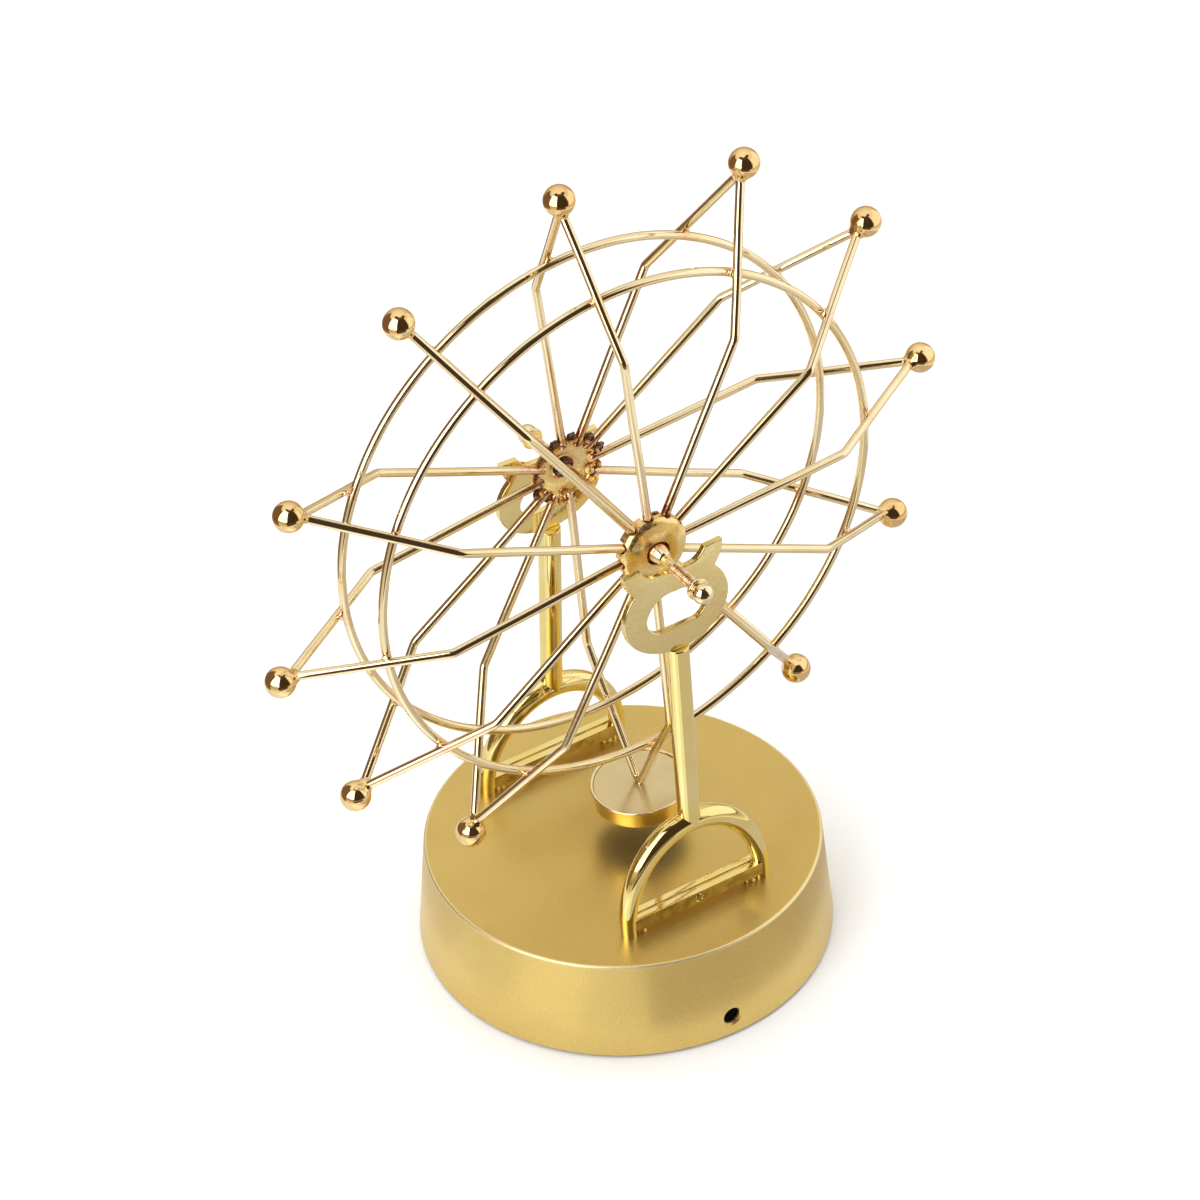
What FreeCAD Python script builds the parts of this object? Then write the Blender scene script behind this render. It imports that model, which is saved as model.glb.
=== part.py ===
import FreeCAD, Part
import math
import os

# A small ferris wheel desk toy. A wire wheel with solder-joined balls and one magnet cup turns
# on a thin axle that lies in two open yokes. The round base holds the batteries and the drive
# coil that pushes the magnet as it passes over the base.
# Frame: millimetres, +Z up, origin at the centre of the base on the table, axle along Y,
# front support at -Y. Seen from the front, X points right.

# Base sizes
base_bottom_radius = 60.0
base_top_radius = 57.0
base_height = 32.0
foot_height = 1.0
wall = 1.3
top_thickness = 1.2
rim_radius = 0.8
cover_radius = 57.9
cover_thickness = 2.0

# Wheel sizes
wheel_height = 148.0
ball_circle_radius = 103.7
ball_radius = 4.3
wire_radius = 1.2
kink_radius = 62.8
kink_half_spacing = 21.3
spoke_inner_radius = 7.6
tip_apex_radius = 101.0
kink_bend = 4.0
tip_bend = 1.7
ring_radius = 77.0
spoke_count = 12
magnet_spoke = 8
first_spoke_angle = 155.05
# How far each hand-soldered spoke leans from even spacing, in degrees, spoke 1 to 12
spoke_lean = [0.1, 0.9, -1.4, -0.1, -1.2, 0.3, 0.6, -1.5, -3.5, 0.8, 1.6, 2.6]

# Hub and axle sizes
hub_radius = 10.4
hub_face_y = 24.4
hub_rim_y = 19.6
hub_sheet = 0.9
axle_radius = 1.75
collar_radius = 3.25
neck_radius = 1.55
thread_radius = 1.5
thread_start_y = 32.6
nut_radius = 2.9
nut_flange_radius = 3.2
nut_flange_thickness = 1.1
nut_flange_back = 3.0
# How far each ball nut is from the middle of the base; the axle reaches further out in front
nut_reach = {-1: 45.8, 1: 41.2}
shaft_gap = 0.05

# Magnet cup sizes
cup_radius = 14.2
cup_lip_at = 100.1
cup_depth = 6.2
cup_wall = 0.95
cup_floor = 0.9
face_plate_at = 100.55
face_plate_thickness = 0.8
magnet_radius = 12.5

# Support sizes
support_y = 37.5
support_lean = 3.4
arch_half_width = 22.2
arch_straight = 3.0
arch_rise = 27.0
arch_leg_radius = 2.4
arch_crown_radius = 3.3
bar_height = 4.1
bar_depth = 5.0
bar_lift = 2.0
peg_x = 18.3
peg_radius = 1.7
peg_hole_depth = 4.8
post_radius = 3.3
yoke_bottom = 89.4
yoke_thickness = 2.0
# How far the yoke's outer face stands in front of the middle of the post
yoke_outer_face = 1.4
yoke_half_width = 16.6
yoke_half_height = 13.4

# Drive and battery sizes
cell_radius = 7.25
cell_pitch = 14.9
cell_axis_z = 10.7
cell_count = 4
bay_half_x = 29.0
bay_half_y = 29.8
tray_wall = 1.2
tray_roof_z = 18.2
door_gap = 0.3
door_pivot_x = -27.7
door_pivot_z = 2.0
coil_flange_radius = 17.0
coil_bottom_z = 19.4
coil_top_z = 30.8
board_z = 22.0
board_thickness = 1.6
jack_x = -2.8
jack_z = 7.2
jack_hole_radius = 2.6
screw_circle = 36.0

X = FreeCAD.Vector(1, 0, 0)
Y = FreeCAD.Vector(0, 1, 0)
Z = FreeCAD.Vector(0, 0, 1)
ORIGIN = FreeCAD.Vector(0, 0, 0)
axle_point = FreeCAD.Vector(0, 0, wheel_height)


def vec(x, y, z):
    return FreeCAD.Vector(x, y, z)


def save(name, solids):
    """Write one node; several separate solids become one compound."""
    solids = solids if isinstance(solids, list) else [solids]
    shape = solids[0] if len(solids) == 1 else Part.makeCompound(solids)
    shape.exportStep("parts/" + name + ".step")
    print(name, len(solids), "solid(s)", "valid" if shape.isValid() else "NOT VALID")
    return shape


def cylinder(radius, height, base, direction=Z):
    return Part.makeCylinder(radius, height, base, direction)


def block(low, high):
    return Part.makeBox(high[0] - low[0], high[1] - low[1], high[2] - low[2], vec(*low))


def turned(points, axis_point=ORIGIN, axis=Z):
    """Revolve a closed outline. An entry that holds three points is an arc through the middle one."""
    edges = []
    at = points[0]
    for step in points[1:] + [points[0]]:
        if isinstance(step, tuple):
            edges.append(Part.Arc(at, step[0], step[1]).toShape())
            at = step[1]
        else:
            edges.append(Part.LineSegment(at, step).toShape())
            at = step
    return Part.Face(Part.Wire(edges)).revolve(axis_point, axis, 360)


def rounded_path(points, bends):
    """A wire along the points, with an arc of the given radius at each inner point."""
    edges = []
    start = points[0]
    for index in range(1, len(points) - 1):
        corner = points[index]
        back = (points[index - 1] - corner).normalize()
        ahead = (points[index + 1] - corner).normalize()
        half = back.getAngle(ahead) / 2
        reach = bends[index - 1] / math.tan(half)
        middle = (back + ahead).normalize()
        centre = corner + middle * (bends[index - 1] / math.sin(half))
        first = corner + back * reach
        last = corner + ahead * reach
        edges.append(Part.LineSegment(start, first).toShape())
        edges.append(Part.Arc(first, centre - middle * bends[index - 1], last).toShape())
        start = last
    edges.append(Part.LineSegment(start, points[-1]).toShape())
    return Part.Wire(edges)


def tube(points, bends, radius):
    """A round wire or cord of the given radius along a rounded path."""
    path = rounded_path(points, bends)
    direction = points[1] - points[0]
    profile = Part.Wire(Part.makeCircle(radius, points[0], direction))
    return path.makePipeShell([profile], True, False)


# Base

def base_wall_radius(z):
    """Outside radius of the tapered base wall at a height."""
    slope = (base_bottom_radius - base_top_radius) / base_height
    return base_bottom_radius - slope * z


def make_base_shell():
    slope = math.atan((base_bottom_radius - base_top_radius) / base_height)
    rim_x = base_top_radius - rim_radius
    rim_z = base_height - rim_radius
    side_end = vec(rim_x + rim_radius * math.cos(slope), 0, rim_z + rim_radius * math.sin(slope))
    half = (math.pi / 2 + slope) / 2
    rim_middle = vec(rim_x + rim_radius * math.cos(half), 0, rim_z + rim_radius * math.sin(half))
    inner_top = base_height - top_thickness
    shell = turned([
        vec(0, 0, base_height), vec(rim_x, 0, base_height), (rim_middle, side_end),
        vec(base_wall_radius(foot_height), 0, foot_height),
        vec(base_wall_radius(foot_height) - wall, 0, foot_height),
        vec(base_wall_radius(inner_top) - wall, 0, inner_top), vec(0, 0, inner_top)])
    cover_top = foot_height + cover_thickness
    for sx in (-1, 1):
        for sy in (-1, 1):
            boss_base = vec(sx * screw_circle, sy * screw_circle, cover_top)
            boss = cylinder(3.5, inner_top - cover_top + 0.2, boss_base)
            shell = shell.fuse(boss).cut(cylinder(1.1, 14, boss_base - Z))
    for sx in (-1, 1):
        boss = cylinder(2.5, inner_top - board_z - board_thickness + 0.2,
                        vec(sx * 12, -39, board_z + board_thickness))
        shell = shell.fuse(boss).cut(cylinder(0.8, 5, vec(sx * 12, -39, board_z)))
    coil_rib = cylinder(coil_flange_radius + 1.3, 4, vec(0, 0, inner_top - 3.8))
    coil_rib = coil_rib.cut(cylinder(coil_flange_radius + 0.15, 3.8, vec(0, 0, inner_top - 3.8)))
    shell = shell.fuse(coil_rib)
    for sx in (-1, 1):
        for side in (-1, 1):
            shell = shell.cut(cylinder(1.5, 6, vec(sx * peg_x, side * peg_y(), inner_top - 2)))
    shell = shell.cut(cylinder(jack_hole_radius, 12, vec(jack_x, -64, jack_z), Y))
    return shell.removeSplitter()


def make_bottom_cover():
    low = foot_height
    top = low + cover_thickness
    outer_x = bay_half_x + tray_wall
    outer_y = bay_half_y + tray_wall
    cover = cylinder(cover_radius, cover_thickness, vec(0, 0, low))
    tray = block((-outer_x, -outer_y, top - 0.5), (outer_x, outer_y, tray_roof_z + 0.9))
    cover = cover.fuse(tray)
    cover = cover.cut(block((-bay_half_x, -bay_half_y, low - 1), (bay_half_x, bay_half_y, tray_roof_z)))
    for row in (-1, 0, 1):
        rib_y = row * cell_pitch
        rib = block((-20, rib_y - 0.6, tray_roof_z - 2.2), (20, rib_y + 0.6, tray_roof_z + 0.1))
        cover = cover.fuse(rib)
    for side in (-1, 1):
        hole_y = side * (bay_half_y + 0.7) - 0.8
        hole = cylinder(0.6 + shaft_gap, 1.6, vec(door_pivot_x, hole_y, door_pivot_z), Y)
        cover = cover.cut(hole)
        slot_low = (24.0 * side - 1.2, -outer_y - 1, 12.6)
        slot_high = (24.0 * side + 1.2, -bay_half_y + 1, 15.4)
        cover = cover.cut(block(slot_low, slot_high))
        rib_x = jack_x + side * 5.2
        cover = cover.fuse(block((rib_x - 0.5, -55, top - 0.2), (rib_x + 0.5, -46, top + 5)))
    nail_notch = cylinder(6.0, 0.9, vec(bay_half_x, 0, low - 0.1))
    cover = cover.cut(nail_notch)
    for sx in (-1, 1):
        for sy in (-1, 1):
            place = vec(sx * screw_circle, sy * screw_circle, low)
            cover = cover.cut(cylinder(1.5, 4, place - Z))
            cover = cover.cut(cylinder(2.8, 1.1, place - Z * 0.1))
    return cover.removeSplitter()


def make_battery_door():
    low = foot_height
    half_y = bay_half_y - door_gap
    far_x = bay_half_x - door_gap
    door = block((door_pivot_x, -half_y, low), (far_x, half_y, low + cover_thickness))
    door = door.fuse(cylinder(1.0, 2 * half_y, vec(door_pivot_x, -half_y, door_pivot_z), Y))
    for side in (-1, 1):
        pin = cylinder(0.6, 1.4, vec(door_pivot_x, side * (half_y + 0.6) - 0.7, door_pivot_z), Y)
        door = door.fuse(pin)
    for groove in range(3):
        groove_x = far_x - 5.0 - 2.4 * groove
        door = door.cut(block((groove_x, -9, low - 1), (groove_x + 1.2, 9, low + 0.5)))
    return door.removeSplitter()


def make_rubber_feet():
    feet = []
    for index in range(4):
        angle = math.radians(90 * index)
        centre = vec(47 * math.cos(angle), 47 * math.sin(angle), 0)
        foot = cylinder(5.0, foot_height, centre)
        feet.append(foot.makeChamfer(0.3, [edge for edge in foot.Edges if edge.BoundBox.ZMax < 0.01]))
    return feet


def make_screw(place, direction, shank_radius, length, head_radius, head_height):
    """A round-head screw; the head's underside is at the place and the shank runs along direction."""
    head = cylinder(head_radius, head_height, place - direction * head_height, direction)
    slot = cylinder(head_radius * 0.45, head_height * 0.5, place - direction * head_height, direction)
    return head.fuse(cylinder(shank_radius, length, place, direction)).cut(slot)


def make_cover_screws():
    return [make_screw(vec(sx * screw_circle, sy * screw_circle, foot_height + 1.0), Z, 1.05, 9, 2.5, 0.9)
            for sx in (-1, 1) for sy in (-1, 1)]


def cell_centre_y(index):
    return (index - (cell_count - 1) / 2) * cell_pitch


def make_battery_cells():
    cells = []
    for index in range(cell_count):
        way = 1 if index % 2 == 0 else -1
        base = vec(-24.6 * way, cell_centre_y(index), cell_axis_z)
        can = cylinder(cell_radius, 48.6, base, X * way)
        can = can.fuse(cylinder(2.7, 1.4, base + X * way * 48.6, X * way))
        cells.append(can)
    return cells


def make_battery_contacts():
    contacts = []
    groups = {1: [(0, 1), (2, 3)], -1: [(0,), (1, 2), (3,)]}
    for side, pairs in groups.items():
        for pair in pairs:
            low_y = cell_centre_y(pair[0]) - 4.5
            high_y = cell_centre_y(pair[-1]) + 4.5
            near = side * (bay_half_x - 0.5)
            far = side * (bay_half_x - 0.1)
            plate = block((min(near, far), low_y, 6.0), (max(near, far), high_y, 15.4))
            for index in pair:
                points_plus = (index % 2 == 0) == (side > 0)
                reach = 25.5 if points_plus else 24.7
                length = bay_half_x - 0.5 - reach
                cone = Part.makeCone(2.2, 4.6, length + 0.1,
                                     vec(side * reach, cell_centre_y(index), cell_axis_z), X * side)
                plate = plate.fuse(cone)
            contacts.append(plate)
    return contacts


def make_coil_bobbin():
    bobbin = cylinder(coil_flange_radius, coil_top_z - coil_bottom_z, vec(0, 0, coil_bottom_z))
    groove = turned([vec(6.0, 0, coil_bottom_z + 1.0), vec(20, 0, coil_bottom_z + 1.0),
                     vec(20, 0, coil_top_z - 1.0), vec(6.0, 0, coil_top_z - 1.0)])
    return bobbin.cut(groove).cut(cylinder(3.1, 20, vec(0, 0, coil_bottom_z - 1)))


def make_coil_winding():
    return turned([vec(6.05, 0, coil_bottom_z + 1.05), vec(15.6, 0, coil_bottom_z + 1.05),
                   vec(15.6, 0, coil_top_z - 1.05), vec(6.05, 0, coil_top_z - 1.05)])


def make_circuit_board():
    board = block((-22, -45, board_z), (22, -33, board_z + board_thickness))
    for sx in (-1, 1):
        board = board.cut(cylinder(1.0, 4, vec(sx * 12, -39, board_z - 1)))
    return board


def make_board_components():
    top = board_z + board_thickness
    transistor = cylinder(2.4, 4.8, vec(-5, -41.5, top)).cut(block((-9, -45, top - 1), (-1, -43.0, top + 6)))
    capacitor = cylinder(2.5, 5.4, vec(-19, -41, top))
    resistors = [cylinder(0.9, 5.0, vec(13.8 + 3.2 * step, -44.2, top + 1.0), Y) for step in (1, 2)]
    diode = cylinder(0.8, 3.6, vec(-1.8, -43.8, top + 0.9), X)
    return [transistor, capacitor, diode] + resistors


def make_board_screws():
    return [make_screw(vec(sx * 12, -39, board_z), Z, 0.75, 4.5, 1.7, 0.9) for sx in (-1, 1)]


def make_power_jack():
    front_y = -56.7
    low = foot_height + cover_thickness + 0.05
    body = block((jack_x - 4.5, front_y, low), (jack_x + 4.5, -44.5, 12.2))
    body = body.cut(cylinder(jack_hole_radius, 10.5, vec(jack_x, front_y - 0.5, jack_z), Y))
    pin = cylinder(0.9, 9.5, vec(jack_x, front_y + 1.0, jack_z), Y)
    pin = pin.fuse(Part.makeSphere(0.9, vec(jack_x, front_y + 1.0, jack_z)))
    return body.fuse(pin)


def make_battery_lead(side):
    points = [vec(24.0 * side, -bay_half_y - 0.4, 14.0), vec(24.0 * side, -36, 14.0),
              vec(24.0 * side, -36, 19.6), vec(17.5 * side, -36, 19.6), vec(17.5 * side, -36, board_z)]
    return tube(points, [1.5, 1.5, 1.2], 0.65)


def make_coil_leads():
    leads = []
    for x in (3.0, 6.5):
        start_y = -math.sqrt(15.7 ** 2 - x ** 2) - 0.4
        points = [vec(x, start_y, 25.4), vec(x, -36, 25.4), vec(x, -36, board_z + board_thickness)]
        leads.append(tube(points, [1.2], 0.4))
    return leads


def make_jack_leads():
    leads = []
    for x in (jack_x - 2.0, jack_x + 2.0):
        points = [vec(x, -44.4, 8.0), vec(x, -37.5, 8.0), vec(x, -37.5, board_z)]
        leads.append(tube(points, [2.0], 0.65))
    return leads


# Supports: side is -1 for the front one and 1 for the rear one

def peg_y():
    """The cross bar stands where the leaning support passes at half the bar's height."""
    return support_y - math.tan(math.radians(support_lean)) * (bar_lift + bar_height / 2)


def stand(shape, side):
    """Turn an upright support piece, drawn around the Z axis, to its leaning place on the base."""
    placed = shape.copy()
    placed.rotate(ORIGIN, X, side * support_lean)
    placed.translate(vec(0, side * support_y, base_height))
    return placed


def make_arch(side):
    circles = [Part.Wire(Part.makeCircle(arch_leg_radius, vec(arch_half_width, 0, -1), Z))]
    stations = 14
    for index in range(stations + 1):
        turn = math.pi * index / stations
        radius = arch_leg_radius + (arch_crown_radius - arch_leg_radius) * math.sin(turn)
        centre = vec(arch_half_width * math.cos(turn), 0, arch_straight + arch_rise * math.sin(turn))
        heading = vec(-arch_half_width * math.sin(turn), 0, arch_rise * math.cos(turn))
        circles.append(Part.Wire(Part.makeCircle(radius, centre, heading)))
    circles.append(Part.Wire(Part.makeCircle(arch_leg_radius, vec(-arch_half_width, 0, -1), Z * -1)))
    arch = stand(Part.makeLoft(circles, True, False), side)
    arch = arch.cut(block((-40, -60, base_height - 5), (40, 60, base_height)))
    tenon_hole = stand(cylinder(1.62, 20, vec(0, 0, arch_straight + arch_rise - 2)), side)
    return arch.cut(tenon_hole)


def make_cross_bar(side, arch):
    low = base_height + bar_lift
    y = side * peg_y()
    half = bar_depth / 2
    bar = block((-arch_half_width + 0.6, y - half, low), (arch_half_width - 0.6, y + half, low + bar_height))
    groove = block((-30, y - 0.4, low + bar_height - 0.5), (30, y + 0.4, low + bar_height + 1))
    bar = bar.cut(groove)
    for sx in (-1, 1):
        bar = bar.fuse(cylinder(peg_radius, bar_lift + 0.2, vec(sx * peg_x, y, base_height)))
        bar = bar.cut(cylinder(1.25, peg_hole_depth, vec(sx * peg_x, y, base_height)))
    bar = bar.cut(arch)
    return max(bar.Solids, key=lambda solid: solid.Volume)


def make_post(side, arch, yoke):
    crown = arch_straight + arch_rise
    post = cylinder(post_radius, yoke_bottom + 0.25 - crown, vec(0, 0, crown))
    post = stand(post, side).cut(arch).cut(yoke)
    tenon = stand(cylinder(1.6, 4.0, vec(0, 0, crown - 1.5)), side)
    socket = stand(cylinder(1.42, 5.2, vec(0, 0, yoke_bottom - 5.1)), side)
    post = max(post.Solids, key=lambda solid: solid.Volume)
    return post.fuse(tenon).cut(socket).removeSplitter()


def yoke_outline():
    """Bull-head outline: an oval body with two horns and a flat-bottomed notch for the axle."""
    oval_z = yoke_bottom + yoke_half_height
    body = Part.Ellipse(vec(0, 0, oval_z), yoke_half_width, yoke_half_height)
    body.Axis = vec(0, -1, 0)
    oval = Part.Face(Part.Wire(body.toShape()))
    horn_top = yoke_bottom + 29.1
    notch_z = yoke_bottom + 25.6
    waist = vec(12.5, 0, yoke_bottom + 21.6)
    edges = [
        Part.LineSegment(vec(-4.6, 0, notch_z), vec(4.6, 0, notch_z)).toShape(),
        Part.Arc(vec(4.6, 0, notch_z), vec(8.0, 0, notch_z + 1.0), vec(10.0, 0, horn_top)).toShape(),
        Part.LineSegment(vec(10.0, 0, horn_top), vec(15.7, 0, horn_top + 0.3)).toShape(),
        Part.Arc(vec(15.7, 0, horn_top + 0.3), vec(14.8, 0, yoke_bottom + 25.2), waist).toShape(),
        Part.LineSegment(waist, vec(0, 0, yoke_bottom + 18.9)).toShape(),
        Part.LineSegment(vec(0, 0, yoke_bottom + 18.9), vec(-waist.x, 0, waist.z)).toShape(),
        Part.Arc(vec(-waist.x, 0, waist.z), vec(-14.8, 0, yoke_bottom + 25.2),
                 vec(-15.7, 0, horn_top + 0.3)).toShape(),
        Part.LineSegment(vec(-15.7, 0, horn_top + 0.3), vec(-10.0, 0, horn_top)).toShape(),
        Part.Arc(vec(-10.0, 0, horn_top), vec(-8.0, 0, notch_z + 1.0), vec(-4.6, 0, notch_z)).toShape()]
    horns = Part.Face(Part.Wire(edges))
    return oval, horns


def make_yoke(side):
    shapes = []
    for face in yoke_outline():
        shapes.append(face.extrude(vec(0, yoke_thickness, 0)))
    plate = shapes[0].fuse(shapes[1])
    low = yoke_bottom + 7.5
    middle = yoke_bottom + 13.0
    hole_edges = [
        Part.LineSegment(vec(-5.6, 0, low), vec(5.6, 0, low)).toShape(),
        Part.Arc(vec(5.6, 0, low), vec(8.5, 0, low + 1.9), vec(9.4, 0, middle)).toShape(),
        Part.Arc(vec(9.4, 0, middle), vec(0, 0, middle + 5.9), vec(-9.4, 0, middle)).toShape(),
        Part.Arc(vec(-9.4, 0, middle), vec(-8.5, 0, low + 1.9), vec(-5.6, 0, low)).toShape()]
    hole = Part.Face(Part.Wire(hole_edges)).extrude(vec(0, yoke_thickness, 0))
    plate = plate.cut(hole).removeSplitter()
    middle_y = side * (yoke_outer_face - yoke_thickness / 2)
    plate.translate(vec(0, middle_y - yoke_thickness / 2, 0))
    plate = plate.fuse(cylinder(1.38, 5.05, vec(0, 0, yoke_bottom - 4.8)))
    plate = stand(plate, side)
    seat = cylinder(neck_radius + shaft_gap, 12, vec(0, side * support_y - 6 - side * 6.9, wheel_height), Y)
    return plate.cut(seat)


def make_support_screws():
    inner_top = base_height - top_thickness
    return [make_screw(vec(sx * peg_x, side * peg_y(), inner_top), Z, 1.2, 5.6, 2.4, 1.4)
            for sx in (-1, 1) for side in (-1, 1)]


# Wheel: a spoke is drawn along +X and turned about the axle

def spoke_angle(number):
    return first_spoke_angle - 360.0 / spoke_count * number + spoke_lean[number - 1]


def place_on_wheel(shape, number):
    placed = shape.copy()
    placed.rotate(ORIGIN, Y, -spoke_angle(number))
    placed.translate(axle_point)
    return placed


def make_spoke_wire():
    half = kink_half_spacing
    points = [vec(spoke_inner_radius, half, 0), vec(kink_radius, half, 0), vec(tip_apex_radius, 0, 0),
              vec(kink_radius, -half, 0), vec(spoke_inner_radius, -half, 0)]
    return tube(points, [kink_bend, tip_bend, kink_bend], wire_radius)


def ring_offset():
    """Distance of the ring from the middle plane, so that it just touches the inside of the spokes."""
    run = tip_apex_radius - kink_radius
    slant = math.hypot(run, kink_half_spacing)
    touch = 2 * wire_radius + 0.02
    return kink_half_spacing - (touch * slant + kink_half_spacing * (ring_radius - kink_radius)) / run


def make_ring(side):
    return Part.makeTorus(ring_radius, wire_radius, vec(0, side * ring_offset(), wheel_height), Y)


def make_ball(wire):
    return Part.makeSphere(ball_radius, vec(ball_circle_radius, 0, 0)).cut(wire)


def make_hub(side):
    face = hub_face_y
    bore = collar_radius + 0.03
    inner = hub_radius - hub_sheet
    hub = turned([
        vec(bore, face, 0), vec(7.4, face - 0.35, 0),
        (vec(hub_radius - 0.75, face - 1.1, 0), vec(hub_radius, face - 2.7, 0)),
        vec(hub_radius, hub_rim_y, 0), vec(inner, hub_rim_y, 0),
        vec(inner, face - 2.9, 0), (vec(inner - 0.6, face - 1.85, 0), vec(7.2, face - 1.35, 0)),
        vec(bore, face - 1.0, 0)], ORIGIN, Y)
    for number in range(1, spoke_count + 1):
        notch = cylinder(wire_radius + shaft_gap, 8, vec(6.0, kink_half_spacing, 0), X)
        mouth_half = wire_radius + shaft_gap
        mouth = block((8.2, hub_rim_y - 1, -mouth_half), (12, kink_half_spacing, mouth_half))
        cutter = notch.fuse(mouth)
        cutter.rotate(ORIGIN, Y, -spoke_angle(number))
        hub = hub.cut(cutter)
    if side < 0:
        hub = hub.mirror(ORIGIN, Y)
    hub.translate(axle_point)
    return hub


def half_axle(reach):
    """The axle from its middle to one end, drawn towards +Y."""
    profile = [
        vec(0, 0, 0), vec(axle_radius, 0, 0), vec(axle_radius, hub_face_y - 1.6, 0),
        vec(collar_radius, hub_face_y - 1.6, 0), vec(collar_radius, hub_face_y + 0.3, 0),
        vec(2.0, hub_face_y + 3.2, 0), vec(neck_radius, hub_face_y + 3.8, 0),
        vec(neck_radius, thread_start_y, 0), vec(thread_radius, thread_start_y + 0.2, 0),
        vec(thread_radius, reach + 0.8, 0), vec(0, reach + 0.8, 0)]
    return turned(profile, ORIGIN, Y)


def make_axle():
    axle = half_axle(nut_reach[1]).fuse(half_axle(nut_reach[-1]).mirror(ORIGIN, Y)).removeSplitter()
    axle.translate(axle_point)
    return axle


def make_axle_nuts():
    """Ball nuts with a round flange on the side of the wheel."""
    nuts = []
    for side, reach in nut_reach.items():
        centre = vec(0, side * reach, wheel_height)
        inward = Y * -side
        near = centre + inward * (nut_flange_back - nut_flange_thickness)
        flange = cylinder(nut_flange_radius, nut_flange_thickness, near, inward)
        nut = Part.makeSphere(nut_radius, centre).fuse(flange.makeChamfer(0.3, flange.Edges[:1]))
        bore_end = centre - inward * 0.9
        nuts.append(nut.cut(cylinder(thread_radius + 0.02, 6.0, bore_end, inward)))
    return nuts


def make_magnet_cup():
    end = cup_lip_at + cup_depth
    cup = cylinder(cup_radius, cup_depth, vec(cup_lip_at, 0, 0), X)
    cup = cup.makeFillet(0.5, [edge for edge in cup.Edges if edge.BoundBox.XMin > end - 0.01])
    return cup.cut(cylinder(cup_radius - cup_wall, cup_depth - cup_floor, vec(cup_lip_at, 0, 0), X))


def make_face_plate():
    return cylinder(cup_radius - cup_wall - 0.05, face_plate_thickness, vec(face_plate_at, 0, 0), X)


def make_magnet():
    start = face_plate_at + face_plate_thickness + 0.02
    end = cup_lip_at + cup_depth - cup_floor - 0.02
    return cylinder(magnet_radius, end - start, vec(start, 0, 0), X)


def main():
    os.makedirs("parts", exist_ok=True)

    save("base_shell", make_base_shell())
    save("bottom_cover", make_bottom_cover())
    save("battery_door", make_battery_door())
    save("rubber_feet", make_rubber_feet())
    save("cover_screws", make_cover_screws())
    save("battery_cells", make_battery_cells())
    save("battery_contacts", make_battery_contacts())
    save("coil_bobbin", make_coil_bobbin())
    save("coil_winding", make_coil_winding())
    save("coil_core", cylinder(3.0, 10.8, vec(0, 0, coil_bottom_z + 0.2)))
    save("circuit_board", make_circuit_board())
    save("board_components", make_board_components())
    save("board_screws", make_board_screws())
    save("power_jack", make_power_jack())
    save("battery_lead_red", make_battery_lead(1))
    save("battery_lead_black", make_battery_lead(-1))
    save("coil_leads", make_coil_leads())
    save("jack_leads", make_jack_leads())

    for side, place in ((-1, "front"), (1, "rear")):
        arch = make_arch(side)
        yoke = make_yoke(side)
        save("foot_arch_" + place, arch)
        save("cross_bar_" + place, make_cross_bar(side, arch))
        save("post_" + place, make_post(side, arch, yoke))
        save("yoke_" + place, yoke)
        save("hub_" + place, make_hub(side))
        save("ring_" + place, make_ring(side))
    save("support_screws", make_support_screws())

    save("axle", make_axle())
    save("axle_nuts", make_axle_nuts())
    wire = make_spoke_wire()
    ball = make_ball(wire)
    for number in range(1, spoke_count + 1):
        save("spoke_%02d" % number, place_on_wheel(wire, number))
        if number != magnet_spoke:
            save("ball_%02d" % number, place_on_wheel(ball, number))
    save("magnet_cup", place_on_wheel(make_magnet_cup(), magnet_spoke))
    save("face_plate", place_on_wheel(make_face_plate(), magnet_spoke))
    save("magnet", place_on_wheel(make_magnet(), magnet_spoke))


main()
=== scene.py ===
import bmesh
import bpy
import cmath
import math
from mathutils import Matrix, Vector, noise


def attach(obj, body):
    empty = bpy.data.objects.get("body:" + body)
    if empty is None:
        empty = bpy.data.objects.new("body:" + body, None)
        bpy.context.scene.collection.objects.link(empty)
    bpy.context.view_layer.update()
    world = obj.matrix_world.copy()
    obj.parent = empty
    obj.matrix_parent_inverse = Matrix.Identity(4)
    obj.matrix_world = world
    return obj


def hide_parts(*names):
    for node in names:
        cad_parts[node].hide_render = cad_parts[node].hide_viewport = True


# A ferris wheel desk toy in gold plate. A wire wheel with twelve bent spokes, eleven tip balls and
# one magnet cup turns between two bull-head yokes on a round base with a satin gold lacquer.
# Shapes are worked out in millimetres and turned to metres when a mesh is made.

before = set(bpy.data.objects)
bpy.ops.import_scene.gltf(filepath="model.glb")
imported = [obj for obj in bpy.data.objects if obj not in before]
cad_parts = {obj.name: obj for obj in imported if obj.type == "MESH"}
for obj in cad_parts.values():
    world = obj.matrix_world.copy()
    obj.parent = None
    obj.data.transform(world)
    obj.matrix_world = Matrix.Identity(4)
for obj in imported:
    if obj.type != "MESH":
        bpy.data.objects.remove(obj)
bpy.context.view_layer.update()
scene = bpy.context.scene
# The vector noise draws its offsets from this seed, so that each run is the same
noise.seed_set(4)
MM = 0.001

# Base
base_bottom_radius = 60.0
base_top_radius = 57.0
base_height = 32.0
foot_height = 1.0
wall = 1.3
top_thickness = 1.2
rim_radius = 0.8
jack_x = -2.8
jack_z = 7.2
jack_hole_radius = 2.6
jack_hole_bevel = 0.55
cell_pitch = 14.9
screw_circle = 36.0
screw_head_radius = 2.5
screw_head_height = 0.9
screw_shank_radius = 1.05
screw_length = 9.0
screw_recess_depth = 0.5
# How far each cover screw was turned when it was driven, in degrees
screw_turns = (18, 63, 41, 80)

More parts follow.
